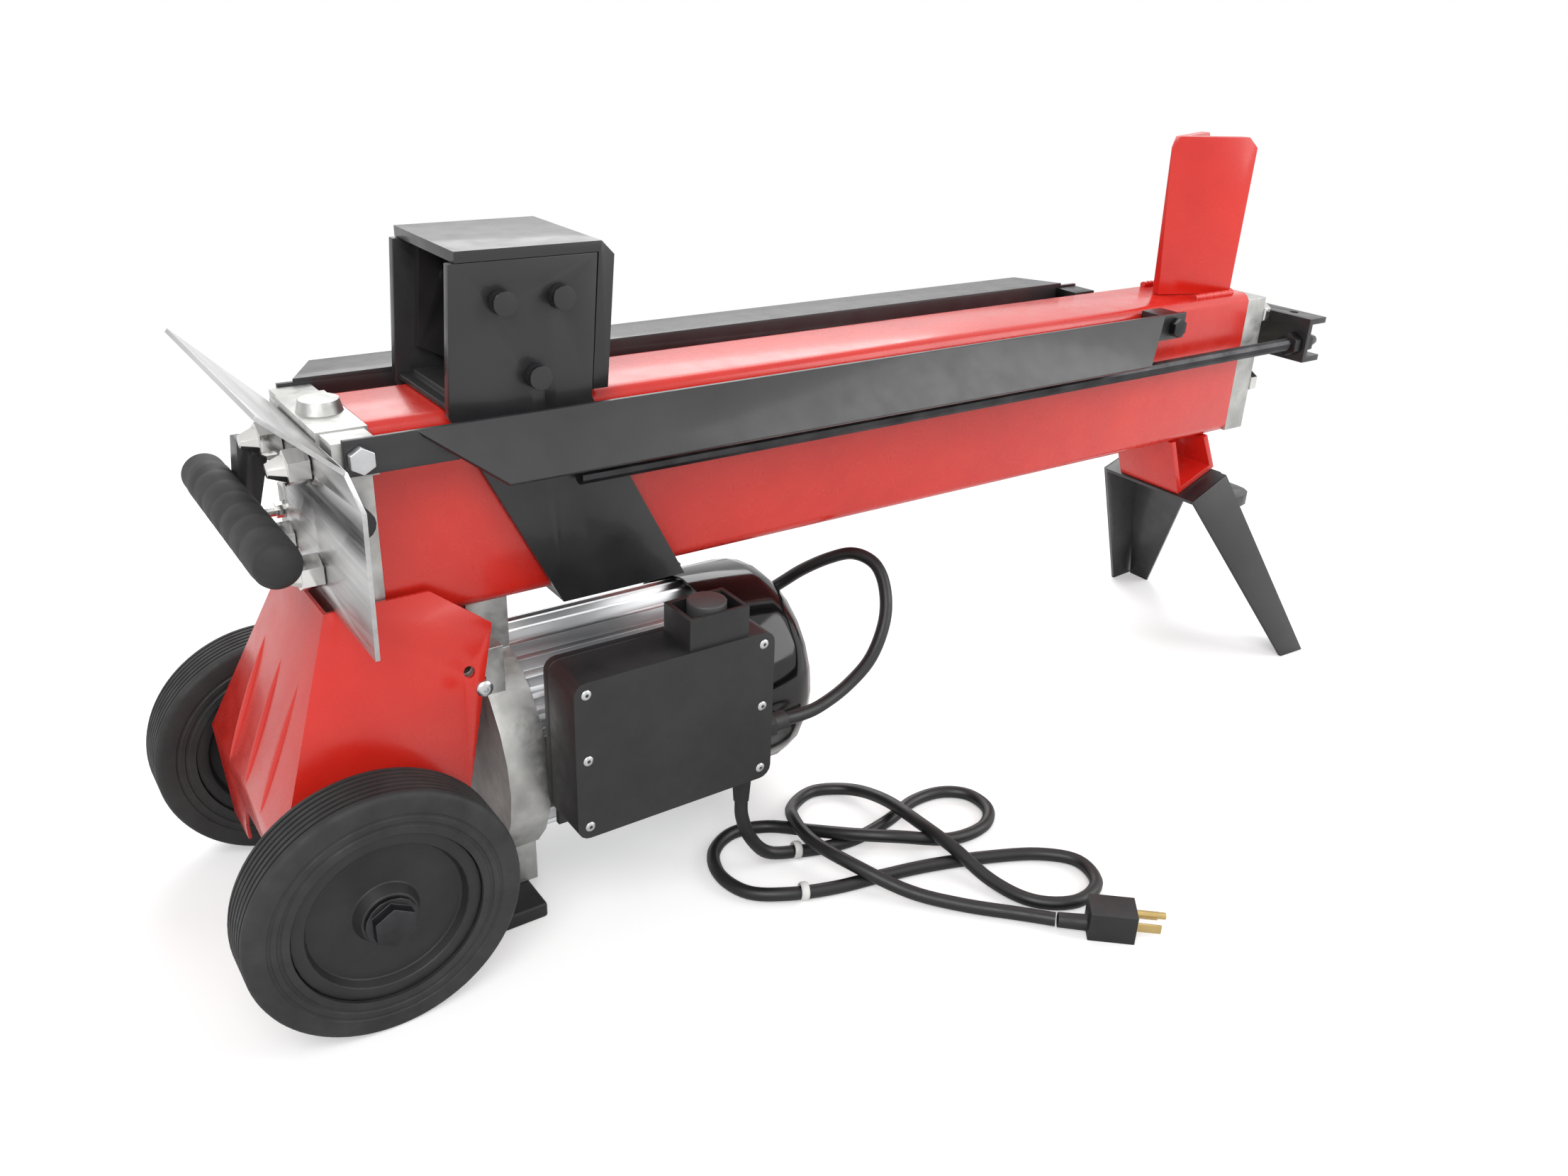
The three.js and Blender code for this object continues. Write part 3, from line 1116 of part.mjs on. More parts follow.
function coolingFan() {
  const x0 = MOTOR_END_X + 10;
  const star = [];
  for (let i = 0; i < FAN_BLADES; i += 1) {
    const middle = (2 * Math.PI * i) / FAN_BLADES;
    for (const [radius, side] of [[16, -1], [FAN_RADIUS - 2, -1], [FAN_RADIUS - 2, 1], [16, 1]]) {
      const angle = middle + (side * FAN_BLADE_HALF) / radius;
      star.push([radius * Math.cos(angle), MOTOR_Z + radius * Math.sin(angle)]);
    }
  }
  const blades = prismX(star, x0 + 1, x0 + 18, [circleAt([0, MOTOR_Z], SHAFT_RADIUS + GAP, 12)]);
  const back = sleeve("x", FAN_RADIUS, SHAFT_RADIUS + 2, x0, x0 + 2.5, 0, MOTOR_Z, ROUND_SIDES);
  return join(blades, back);
}

function fanCover() {
  const length = COVER_LENGTH;
  const outer = [
    [0, 0], [COVER_RADIUS, 0], [COVER_RADIUS, length - 22], [COVER_RADIUS - 3, length - 12],
    [COVER_RADIUS - 10, length - 4], [COVER_RADIUS - 20, length], [0, length],
  ];
  const t = COVER_SHEET;
  const inner = [
    [0, -1], [COVER_RADIUS - t, -1], [COVER_RADIUS - t, length - 22], [COVER_RADIUS - 3 - t, length - 12.5],
    [COVER_RADIUS - 10.5, length - 5.5], [COVER_RADIUS - 20, length - t], [0, length - t],
  ];
  const place = (g) => g.rotateZ(-Math.PI / 2).translate(MOTOR_END_X + GAP - 8, 0, MOTOR_Z);
  const shell = cut(place(turned(outer, ROUND_SIDES)), place(turned(inner, ROUND_SIDES)));
  const slots = [];
  for (const [half, y] of [[34, -20], [42, -10], [44, 0], [42, 10], [34, 20]]) {
    slots.push(box(COVER_END_X - 12, COVER_END_X, y - 2, y + 2, MOTOR_Z - half, MOTOR_Z + half * 0.6));
  }
  const leadHole = bar("x", LEAD_RADIUS + GAP, COVER_END_X - 20, COVER_END_X, LEAD_END[1], LEAD_END[2]);
  return cut(shell, ...slots, leadHole);
}

function motorFoot() {
  const x0 = MOTOR_START_X - FLANGE_LENGTH - 10;
  return box(x0, x0 + 31, -FOOT_HALF_WIDTH, FOOT_HALF_WIDTH, 0, FOOT_HEIGHT);
}

// ---- switch box ---------------------------------------------------------------------------
function boxBack() {
  const y1 = BOX_BACK_Y;
  const y0 = y1 - BOX_BACK_DEPTH;
  const outline = roundedRect(BOX_START_X, BOX_END_X, BOX_BOTTOM, BOX_TOP, 8);
  const tray = prismY(outline, y0, y1);
  const w = BOX_WALL;
  const hollow = prismY(roundedRect(BOX_START_X + w, BOX_END_X - w, BOX_BOTTOM + w, BOX_TOP - w, 6), y0 - 1, y1 - w);
  const lug = box(BOX_START_X + 4, BOX_START_X + 18, y1 - 4, y1, BOX_BOTTOM - 11, BOX_BOTTOM + 2);
  return join(cut(tray, hollow), lug);
}

function boxCover() {
  const y0 = BOX_FRONT_Y;
  const y1 = BOX_BACK_Y - BOX_BACK_DEPTH - GAP;
  const w = BOX_WALL;
  const outline = roundedRect(BOX_START_X, BOX_END_X, BOX_BOTTOM, BOX_TOP, 8);
  const hollow = prismY(roundedRect(BOX_START_X + w, BOX_END_X - w, BOX_BOTTOM + w, BOX_TOP - w, 6), y0 + w, y1 + 1);
  const buttonHole = bar("z", BUTTON_RADIUS + 1.5, BOX_TOP - 10, BOX_TOP + 1, BUTTON_X, BUTTON_Y);
  const cordHole = bar("z", 7 + FIT, BOX_BOTTOM - 1, BOX_BOTTOM + 8, CORD_EXIT[0], CORD_EXIT[1], SMALL_SIDES);
  const shell = cut(prismY(outline, y0, y1), hollow, cordHole);
  return join(cut(join(shell, buttonGuard()), buttonHole), leadGland());
}

const BUTTON_Y = -102;
function buttonGuard() {
  const x0 = BUTTON_X - 21;
  const x1 = BUTTON_X + 21;
  const y0 = BUTTON_Y - 15.5;
  const y1 = BUTTON_Y + 15.5;
  const z0 = BOX_TOP - 1;
  const z1 = BOX_TOP + GUARD_FRAME_HEIGHT;
  const outer = box(x0, x1, y0, y1, z0, z1);
  const pocket = box(x0 + 3, x1 - 3, y0 + 3, y1 - 3, BOX_TOP + 8, z1 + 1);
  return cut(outer, pocket, bar("z", BUTTON_RADIUS + 1.5, z0 - 1, z1, BUTTON_X, BUTTON_Y));
}

function startButton() {
  const top = BOX_TOP + GUARD_FRAME_HEIGHT + 3;
  const cap = bar("z", BUTTON_RADIUS, BOX_TOP + 5, top, BUTTON_X, BUTTON_Y);
  const stem = bar("z", 5, BOX_TOP - 11, BOX_TOP + 6, BUTTON_X, BUTTON_Y, SMALL_SIDES);
  return join(cap, stem);
}

function switchBody() {
  const z1 = BOX_TOP - 8;
  const block = box(BUTTON_X - 15, BUTTON_X + 15, BUTTON_Y - 13, BUTTON_Y + 9, z1 - 32, z1);
  const well = bar("z", 5.6, z1 - BUTTON_TRAVEL - 5, z1 + 1, BUTTON_X, BUTTON_Y, SMALL_SIDES);
  return cut(block, well);
}

function capacitor() {
  const y = BOX_FRONT_Y + BOX_WALL + 17;
  return bar("x", 15.5, BOX_START_X + 6, BOX_START_X + 74, y, BOX_BOTTOM + 24);
}

// ---- leads --------------------------------------------------------------------------------
const LEAD_START = [231, -108, 114];
const LEAD_END = [292, 5, 146];
const LEAD_POINTS = [
  LEAD_START, [244, -107.5, 113], [262, -105, 113], [288, -100.5, 119], [312, -95.5, 132],
  [330, -86, 152], [339, -73, 170], [341, -58, 182], [335, -41, 185], [325, -26, 178],
  [313, -11, 166], [303, 0, 154], [293.5, 5, 146.5],
];
const CORD_EXIT = [200, -105, 60];
const CORD_POINTS = [
  CORD_EXIT, [201, -105, 46], [207, -106.5, 28], [220, -109, 12], [242, -113, 6.2],
  [264, -119, 5], [290, -122, 5], [322, -117, 5], [352, -108, 5], [378, -110, 5],
  [394, -124, 5], [393, -146, 5], [374, -160, 5], [342, -160, 7], [306, -147, 14.8],
  [281, -128, 14.8], [262, -101, 9], [243, -77, 5], [217, -70, 5], [194, -82, 5],
  [184, -106, 5], [190, -131, 5], [211, -148, 6.2], [242, -158, 5], [276, -165, 5],
  [313, -174, 5], [352, -188, 5], [386, -205, 5], [404, -226, 5], [396, -250, 5],
  [370, -256, 5], [346, -240, 5], [335, -211, 7], [330, -176, 14.8], [327, -140, 16.8],
  [326, -106, 14.8], [321, -74, 7], [297, -58, 5], [271, -68, 7], [255, -92, 15.2],
  [250, -122, 16.8], [260, -158, 14.8], [280, -190, 7], [303, -218, 5], [330, -246, 5],
  [344, -262, 5.6],
];
const PLUG_HEADING = Math.atan2(-38, 43);
const PLUG_START = [344, -262];

function leadCurve(points) {
  const vectors = points.map(([x, y, z]) => new THREE.Vector3(x, y, z));
  return new THREE.CatmullRomCurve3(vectors, false, "centripetal");
}

function motorLead() {
  return sweep(leadCurve(LEAD_POINTS), LEAD_RADIUS, 40, 8);
}

function leadGland() {
  const [x, y, z] = LEAD_START;
  const x0 = BOX_END_X - 1;
  const nut = hexBar("x", 15, x0, x0 + 9, y, z);
  return join(nut, bar("x", 6.8, x0, x - 3 * GAP, y, z, 12));
}

function mainsCord() {
  return sweep(leadCurve(CORD_POINTS), CORD_RADIUS, 80, 8);
}

function strainRelief() {
  const [x, y, z] = CORD_EXIT;
  const nut = hexBar("z", 15, BOX_BOTTOM - 6, BOX_BOTTOM - GAP, x, y);
  const taper = bar("z", CORD_RADIUS + 0.8, z + GAP, BOX_BOTTOM - 4, x, y, SMALL_SIDES, 6.8);
  const thread = bar("z", 6.8, BOX_BOTTOM - 5, BOX_BOTTOM + 7, x, y, SMALL_SIDES);
  return cut(join(nut, taper, thread), bar("z", 3, z + 5, BOX_BOTTOM + 9, x, y, 12));
}

// Pieces on the plug's own line: local X runs from the cord to the prongs.
function onPlug(geometry) {
  return geometry.rotateZ(PLUG_HEADING).translate(PLUG_START[0], PLUG_START[1], 0);
}

function plug() {
  const tail = bar("x", 5, 1.2, 22, 0, 5.6, 12, 5.5);
  const body = join(tail, box(20, 50, -11, 11, 0, 21));
  const blades = [box(48, 66, -7.5, -6, 8, 14.5), box(48, 66, 6, 7.5, 8, 14.5), bar("x", 2.3, 48, 69, 0, 17, 12)];
  return onPlug(join(body, ...blades));
}

// ---- assembly -----------------------------------------------------------------------------
add("beam_tube", beamTube(), RED_PAINT);
add("cylinder_barrel", barrel(), DARK_STEEL);
add("rear_cap", rearCap(), CAST_ALUMINIUM);
add("front_plate", frontPlate(), CAST_ALUMINIUM);
add("rod_gland", rodGland(), BRASS);
for (const [place, y, z] of studPlaces()) add(`stud_${place}`, throughStud(y, z), CHROME);
add("piston_rod", pistonRod(), CHROME);
add("piston", piston(), DARK_STEEL);
add("return_spring", returnSpring(), DARK_STEEL);
add("bleed_screw", bleedScrew(), BLACK_PLASTIC);
add("guard_plate", guardPlate(), BRUSHED_STEEL);
add("lever_arm", leverArm(), BLACK_PAINT);
add("lever_grip", leverGrip(), RUBBER);
add("valve_spool", valveSpool(), CHROME);

add("log_table_near", nearTable(), BLACK_PAINT);
add("log_table_far", farTable(), BLACK_PAINT);
add("table_through_bolt", tableThroughBolt(), DARK_STEEL);
add("table_post_near", tablePost(), BLACK_PAINT);
add("table_post_far", mirrorY(tablePost()), BLACK_PAINT);

add("ram_carriage", ramCarriage(), BLACK_PAINT);
add("ram_pusher", ramPusher(), BLACK_PAINT);
add("guide_shoe", guideShoe(), BLACK_PLASTIC);
add("tie_rod_near", tieRod(), DARK_STEEL);
add("tie_rod_far", mirrorY(tieRod()), DARK_STEEL);
add("crossbar", crossbar(), BLACK_PAINT);

add("wedge", wedge(), RED_PAINT);
add("front_bracket", frontBracket(), RED_PAINT);
add("front_leg", frontLeg(), BLACK_PAINT);
add("leg_bolt", legBolt(), ZINC);
add("carry_handle", carryHandle(), BLACK_PLASTIC);

add("tyre_near", tyre(), RUBBER);
add("tyre_far", mirrorY(tyre()), RUBBER);
add("wheel_hub_near", hub(), BLACK_PLASTIC);
add("wheel_hub_far", mirrorY(hub()), BLACK_PLASTIC);
add("axle", axle(), ZINC);
add("rear_skirt", rearSkirt(), RED_PAINT);

add("motor_flange", motorFlange(), CAST_ALUMINIUM);
add("pump_drive_gear", driveGear(), DARK_STEEL);
add("pump_driven_gear", drivenGear(), DARK_STEEL);
add("motor_housing", motorHousing(), CAST_ALUMINIUM);
add("motor_stator", stator(), COPPER);
add("motor_rotor", rotorShaft(), DARK_STEEL);
add("bearing_front", bearing(MOTOR_START_X - GAP - BEARING_WIDTH + 4), ZINC);
add("bearing_rear", bearing(MOTOR_END_X - 15.5), ZINC);
add("motor_end_shield", endShield(), CAST_ALUMINIUM);
add("cooling_fan", coolingFan(), BLACK_PLASTIC);
add("fan_cover", fanCover(), GLOSS_BLACK);
add("motor_foot", motorFoot(), BLACK_PAINT);

add("switch_box_back", boxBack(), BLACK_PLASTIC);
add("switch_box_cover", boxCover(), BLACK_PLASTIC);
add("start_button", startButton(), BLACK_PLASTIC);
add("start_switch", switchBody(), WHITE_NYLON);
add("motor_capacitor", capacitor(), ZINC);
add("motor_lead", motorLead(), RUBBER);
add("strain_relief", strainRelief(), BLACK_PLASTIC);
add("mains_cord", mainsCord(), RUBBER);
add("plug", plug(), BLACK_PLASTIC);

group.position.x = -(AXLE_X - WHEEL_RADIUS + TIE_END_X) / 2;
export default group;
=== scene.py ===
import json
import math
import bpy
from mathutils import Matrix, Vector


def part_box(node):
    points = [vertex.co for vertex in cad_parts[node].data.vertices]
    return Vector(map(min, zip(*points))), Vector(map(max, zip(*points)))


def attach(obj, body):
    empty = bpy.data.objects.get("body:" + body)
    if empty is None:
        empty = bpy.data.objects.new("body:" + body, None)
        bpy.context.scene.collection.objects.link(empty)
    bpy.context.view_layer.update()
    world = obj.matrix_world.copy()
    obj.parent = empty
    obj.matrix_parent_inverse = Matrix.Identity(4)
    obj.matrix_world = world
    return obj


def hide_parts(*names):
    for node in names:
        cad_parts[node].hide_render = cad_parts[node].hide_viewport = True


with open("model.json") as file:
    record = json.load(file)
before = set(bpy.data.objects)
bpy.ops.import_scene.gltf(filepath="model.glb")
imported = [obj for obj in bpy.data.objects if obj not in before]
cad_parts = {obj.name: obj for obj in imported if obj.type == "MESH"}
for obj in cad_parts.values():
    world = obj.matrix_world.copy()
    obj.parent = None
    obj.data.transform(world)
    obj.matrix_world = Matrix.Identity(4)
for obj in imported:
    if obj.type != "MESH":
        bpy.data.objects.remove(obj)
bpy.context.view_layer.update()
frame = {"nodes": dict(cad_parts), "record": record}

# ---- studio ------------------------------------------------------------------------------
# A plain pale floor under soft lamps, and a camera low to the left of the rear wheels that
# looks along the beam. Places are in millimetres from the beam's rear end.
MM = 0.001
BEAM_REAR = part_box("beam_tube")[0][0]
CAMERA_PLACE = (-198.0, -692.4, 546.8)
CAMERA_AZIMUTH = math.radians(35.96)
CAMERA_DOWN = math.radians(24.98)
CAMERA_ROLL = math.radians(2.33)
LENS = 29.27
FLOOR_FADE, FLOOR_LIFT = (0.75, 1.5), 0.34


def at(x, y, z):
    return Vector((BEAM_REAR + x * MM, y * MM, z * MM))


def deselect():
    if bpy.context.object and bpy.context.object.mode != "OBJECT":
        bpy.ops.object.mode_set(mode="OBJECT")
    bpy.ops.object.select_all(action="DESELECT")


def add_camera():
    deselect()
    bpy.ops.object.camera_add(location=at(*CAMERA_PLACE))
    camera = bpy.context.object
    level = math.cos(CAMERA_DOWN)
    forward = Vector((math.sin(CAMERA_AZIMUTH) * level, math.cos(CAMERA_AZIMUTH) * level,
                      -math.sin(CAMERA_DOWN)))
    side = forward.cross(Vector((0, 0, 1))).normalized()
    up = side.cross(forward)
    right = side * math.cos(CAMERA_ROLL) + up * math.sin(CAMERA_ROLL)
    top = right.cross(forward)
    turn = Matrix((right, top, -forward)).transposed()
    camera.rotation_euler = turn.to_euler()
    camera.data.lens = LENS
    camera.data.sensor_width = 36
    camera.data.clip_start = 0.01
    bpy.context.scene.camera = camera


def add_lamp(place, aim, size, watts):
    deselect()
    bpy.ops.object.light_add(type="AREA", location=place)
    lamp = bpy.context.object
    lamp.data.size = size
    lamp.data.energy = watts
    direction = Vector(aim) - Vector(place)
    lamp.rotation_euler = direction.to_track_quat("-Z", "Y").to_euler()


def camera_white(material, ordinary):
    """Shows white to the camera and to mirror or glass rays, and the ordinary shader to the rest."""
    nodes, links = material.node_tree.nodes, material.node_tree.links
    path = nodes.new("ShaderNodeLightPath")
    seen = nodes.new("ShaderNodeMath")
    seen.operation = "MAXIMUM"
    links.new(path.outputs["Is Camera Ray"], seen.inputs[0])
    links.new(path.outputs["Is Glossy Ray"], seen.inputs[1])
    through = nodes.new("ShaderNodeMath")
    through.operation = "MAXIMUM"
    links.new(seen.outputs[0], through.inputs[0])
    links.new(path.outputs["Is Transmission Ray"], through.inputs[1])
    glow = nodes.new("ShaderNodeEmission" if material.name != "World" else "ShaderNodeBackground")
    glow.inputs["Color"].default_value = (1, 1, 1, 1)
    mix = nodes.new("ShaderNodeMixShader")
    links.new(through.outputs[0], mix.inputs[0])
    links.new(ordinary.outputs[0], mix.inputs[1])
    links.new(glow.outputs[0], mix.inputs[2])
    return mix


def add_floor():
    deselect()
    bpy.ops.mesh.primitive_plane_add(size=60, location=(0, 0, 0))
    floor = bpy.context.object
    floor.name = "floor"
    material = bpy.data.materials.new("floor_white")
    material.use_nodes = True
    nodes, links = material.node_tree.nodes, material.node_tree.links
    shader = nodes["Principled BSDF"]
    shader.inputs["Base Color"].default_value = (0.86, 0.86, 0.86, 1)
    shader.inputs["Roughness"].default_value = 0.9
    shader.inputs["Specular IOR Level"].default_value = 0.1
    path = nodes.new("ShaderNodeLightPath")
    glow = nodes.new("ShaderNodeEmission")
    lift = nodes.new("ShaderNodeMath")
    lift.operation = "MULTIPLY"
    lift.inputs[1].default_value = FLOOR_LIFT
    links.new(path.outputs["Is Camera Ray"], lift.inputs[0])
    links.new(lift.outputs[0], glow.inputs["Strength"])
    both = nodes.new("ShaderNodeAddShader")
    links.new(shader.outputs[0], both.inputs[0])
    links.new(glow.outputs[0], both.inputs[1])
    white = camera_white(material, both)
    away = nodes.new("ShaderNodeVectorMath")
    away.operation = "LENGTH"
    links.new(nodes.new("ShaderNodeTexCoord").outputs["Object"], away.inputs[0])
    fade = nodes.new("ShaderNodeMapRange")
    fade.inputs["From Min"].default_value = FLOOR_FADE[0]
    fade.inputs["From Max"].default_value = FLOOR_FADE[1]
    links.new(away.outputs["Value"], fade.inputs["Value"])
    blend = nodes.new("ShaderNodeMixShader")
    links.new(fade.outputs["Result"], blend.inputs[0])
    links.new(both.outputs[0], blend.inputs[1])
    links.new(white.outputs[0], blend.inputs[2])
    links.new(blend.outputs[0], nodes["Material Output"].inputs["Surface"])
    floor.data.materials.append(material)


def light_world():
    world = bpy.data.worlds.new("World")
    bpy.context.scene.world = world
    world.use_nodes = True
    sky = world.node_tree.nodes["Background"]
    sky.inputs["Color"].default_value = (1, 1, 1, 1)
    sky.inputs["Strength"].default_value = 0.45
    shown = camera_white(world, sky)
    world.node_tree.links.new(shown.outputs[0], world.node_tree.nodes["World Output"].inputs["Surface"])


bpy.context.scene.view_settings.view_transform = "Standard"
add_camera()
add_floor()
light_world()
add_lamp((-1.3, -1.5, 1.9), (0, 0, 0.2), 1.6, 34)
add_lamp((0.6, 1.4, 1.8), (0, 0, 0.25), 1.8, 30)
add_lamp((1.5, -1.3, 1.3), (0.1, 0, 0.2), 1.4, 18)

# ---- finishes: how a surface's colour, gloss and relief vary ---------------------------------
# Every finish reads the piece's own object coordinates, so grain keeps its real size.


class Finish:
    def __init__(self, name, metallic=0.0):
        self.material = bpy.data.materials.new(name)
        self.material.use_nodes = True
        self.nodes = self.material.node_tree.nodes
        self.links = self.material.node_tree.links
        self.shader = self.nodes["Principled BSDF"]
        self.shader.inputs["Metallic"].default_value = metallic
        self.place = self.nodes.new("ShaderNodeTexCoord").outputs["Object"]
        self.normal = None

    def grain(self, scale, detail=4.0, stretch=(1, 1, 1)):
        mapping = self.nodes.new("ShaderNodeMapping")
        mapping.inputs["Scale"].default_value = stretch
        noise = self.nodes.new("ShaderNodeTexNoise")
        noise.inputs["Scale"].default_value = scale
        noise.inputs["Detail"].default_value = detail
        self.links.new(self.place, mapping.inputs["Vector"])
        self.links.new(mapping.outputs["Vector"], noise.inputs["Vector"])
        return noise.outputs["Fac"]

    def spread(self, source, low, high, start=0.3, end=0.7):
        ranged = self.nodes.new("ShaderNodeMapRange")
        ranged.inputs["From Min"].default_value = start
        ranged.inputs["From Max"].default_value = end
        ranged.inputs["To Min"].default_value = low
        ranged.inputs["To Max"].default_value = high
        self.links.new(source, ranged.inputs["Value"])
        return ranged.outputs["Result"]

    def colour(self, source, dark, light, start=0.3, end=0.7):
        ramp = self.nodes.new("ShaderNodeValToRGB")
        ramp.color_ramp.elements[0].position = start
        ramp.color_ramp.elements[1].position = end
        ramp.color_ramp.elements[0].color = (*dark, 1)
        ramp.color_ramp.elements[1].color = (*light, 1)
        self.links.new(source, ramp.inputs["Fac"])
        self.links.new(ramp.outputs["Color"], self.shader.inputs["Base Color"])

    def gloss(self, source, low, high):
        self.links.new(self.spread(source, low, high), self.shader.inputs["Roughness"])

    def relief(self, source, depth, strength=1.0):
        bump = self.nodes.new("ShaderNodeBump")
        bump.inputs["Distance"].default_value = depth
        bump.inputs["Strength"].default_value = strength
        self.links.new(source, bump.inputs["Height"])
        if self.normal is not None:
            self.links.new(self.normal, bump.inputs["Normal"])
        self.normal = bump.outputs["Normal"]
        self.links.new(self.normal, self.shader.inputs["Normal"])


def powder_coat(name, dark, light, gloss, orange_peel=0.00006):
    look = Finish(name)
    look.colour(look.grain(14, 3), dark, light)
    look.gloss(look.grain(60, 5), *gloss)
    look.relief(look.grain(420, 2), orange_peel, 0.6)
    look.shader.inputs["Coat Weight"].default_value = 0.25
    look.shader.inputs["Coat Roughness"].default_value = 0.12
    return look.material


def metal(name, dark, light, gloss, stretch=(1, 1, 1), scale=300, depth=0.00004):
    look = Finish(name, 1.0)
    look.colour(look.grain(scale * 0.12, 5, stretch), dark, light)
    look.gloss(look.grain(scale * 0.4, 4, stretch), *gloss)
    look.relief(look.grain(scale, 3, stretch), depth, 0.5)
    return look.material


def moulded(name, dark, light, gloss, texture=900, depth=0.00007):
    look = Finish(name)
    look.colour(look.grain(30, 4), dark, light)
    look.gloss(look.grain(90, 5), *gloss)
    look.relief(look.grain(texture, 2), depth, 0.7)
    return look.material


red_coat = powder_coat("red_powder_coat", (0.60, 0.016, 0.010), (0.72, 0.026, 0.014), (0.22, 0.34))
black_coat = powder_coat("black_powder_coat", (0.012, 0.012, 0.013), (0.022, 0.022, 0.024),
                         (0.34, 0.48), 0.00010)
cast_alloy = metal("cast_alloy", (0.40, 0.40, 0.39), (0.62, 0.62, 0.60), (0.42, 0.6), scale=420,
                   depth=0.00018)
extruded_alloy = metal("extruded_alloy", (0.55, 0.56, 0.57), (0.74, 0.75, 0.76), (0.3, 0.42),
                       (0.04, 1, 1), 600)
brushed_sheet = metal("brushed_sheet", (0.44, 0.44, 0.44), (0.62, 0.62, 0.62), (0.26, 0.4),
                      (1, 0.05, 1), 900)
bright_nickel = metal("bright_nickel", (0.66, 0.65, 0.63), (0.8, 0.79, 0.77), (0.08, 0.18))
zinc_plate = metal("zinc_plate", (0.5, 0.51, 0.52), (0.68, 0.69, 0.7), (0.24, 0.4))
black_oxide = metal("black_oxide", (0.035, 0.035, 0.037), (0.075, 0.075, 0.078), (0.32, 0.46))
turned_brass = metal("turned_brass", (0.5, 0.36, 0.14), (0.66, 0.5, 0.22), (0.22, 0.36))
copper_wire = metal("copper_wire", (0.42, 0.17, 0.07), (0.6, 0.27, 0.12), (0.3, 0.45), (1, 8, 8))
black_moulding = moulded("black_moulding", (0.010, 0.010, 0.011), (0.018, 0.018, 0.019), (0.42, 0.56))
grey_moulding = moulded("grey_moulding", (0.045, 0.045, 0.046), (0.07, 0.07, 0.071), (0.4, 0.52))
white_moulding = moulded("white_moulding", (0.72, 0.72, 0.70), (0.8, 0.8, 0.78), (0.35, 0.5))
gloss_enamel = moulded("gloss_enamel", (0.004, 0.004, 0.004), (0.008, 0.008, 0.008), (0.07, 0.13), 60,
                       0.00004)
grip_rubber = moulded("grip_rubber", (0.020, 0.020, 0.021), (0.034, 0.034, 0.035), (0.6, 0.76), 700,
                      0.00012)
tyre_rubber = moulded("tyre_rubber", (0.014, 0.014, 0.015), (0.034, 0.034, 0.034), (0.55, 0.78), 500,
                      0.00012)
cord_jacket = moulded("cord_jacket", (0.008, 0.008, 0.009), (0.014, 0.014, 0.015), (0.34, 0.46), 800)


# ---- mains cord, strain relief and plug -----------------------------------------------------
# A 9.2 mm rubber cord that leaves the switch box downwards and lies on the floor in loose
# loops, with a moulded three-pin plug. Two nylon ties hold the loops.
CORD_DIAMETER = 9.2
CORD_ROUTE = [
    (200, -105, 60), (201, -105, 46), (207, -106.5, 28), (220, -109, 12), (242, -113, 6.2),
    (264, -119, 5), (290, -122, 5), (322, -117, 5), (352, -108, 5), (378, -110, 5),
    (394, -124, 5), (393, -146, 5), (374, -160, 5), (342, -160, 7), (306, -147, 14.8),
    (281, -128, 14.8), (262, -101, 9), (243, -77, 5), (217, -70, 5), (194, -82, 5),
    (184, -106, 5), (190, -131, 5), (211, -148, 6.2), (242, -158, 5), (276, -165, 5),
    (313, -174, 5), (352, -188, 5), (386, -205, 5), (404, -226, 5), (396, -250, 5),
    (370, -256, 5), (346, -240, 5), (335, -211, 7), (330, -176, 14.8), (327, -140, 16.8),
    (326, -106, 14.8), (321, -74, 7), (297, -58, 5), (271, -68, 7), (255, -92, 15.2),
    (250, -122, 16.8), (260, -158, 14.8), (280, -190, 7), (303, -218, 5), (330, -246, 5),
    (344, -262, 5.6),
]
LEAD_ROUTE = [
    (231, -108, 114), (244, -107.5, 113), (262, -105, 113), (288, -100.5, 119), (312, -95.5, 132),
    (330, -86, 152), (339, -73, 170), (341, -58, 182), (335, -41, 185), (325, -26, 178),
    (313, -11, 166), (303, 0, 154), (293.5, 5, 146.5),
]


def through(points, steps):
    """Points along one smooth line through the given ones."""
    smooth = []
    vectors = [at(*p) for p in points]
    vectors = [2 * vectors[0] - vectors[1], *vectors, 2 * vectors[-1] - vectors[-2]]
    for i in range(1, len(vectors) - 2):
        a, b, c, d = vectors[i - 1:i + 3]
        for k in range(steps):
            t = k / steps
            smooth.append(0.5 * (2 * b + (c - a) * t + (2 * a - 5 * b + 4 * c - d) * t * t
                                 + (3 * b - a - 3 * c + d) * t ** 3))
    smooth.append(vectors[-2])
    return smooth


def laid_line(name, points, radius, material, sides=3):
    deselect()
    bpy.ops.curve.primitive_nurbs_path_add()
    line = bpy.context.object
    line.name = name
    line.location = (0, 0, 0)
    line.data.splines.clear()
    spline = line.data.splines.new("POLY")
    spline.points.add(len(points) - 1)
    for knot, place in zip(spline.points, points):
        knot.co = (*place, 1)
    line.data.bevel_depth = radius * MM
    line.data.bevel_resolution = sides
    line.data.use_fill_caps = True
    line.data.materials.append(material)
    return line


def wear(piece, material):
    piece.data.materials.clear()
    piece.data.materials.append(material)


cord_points = through(CORD_ROUTE, 6)
mains_flex = laid_line("mains_flex", cord_points, CORD_DIAMETER / 2, cord_jacket, 4)
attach(mains_flex, "frame")
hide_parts("mains_cord")
motor_flex = laid_line("motor_flex", through(LEAD_ROUTE, 6), 4.5, cord_jacket, 4)
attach(motor_flex, "frame")
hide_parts("motor_lead")

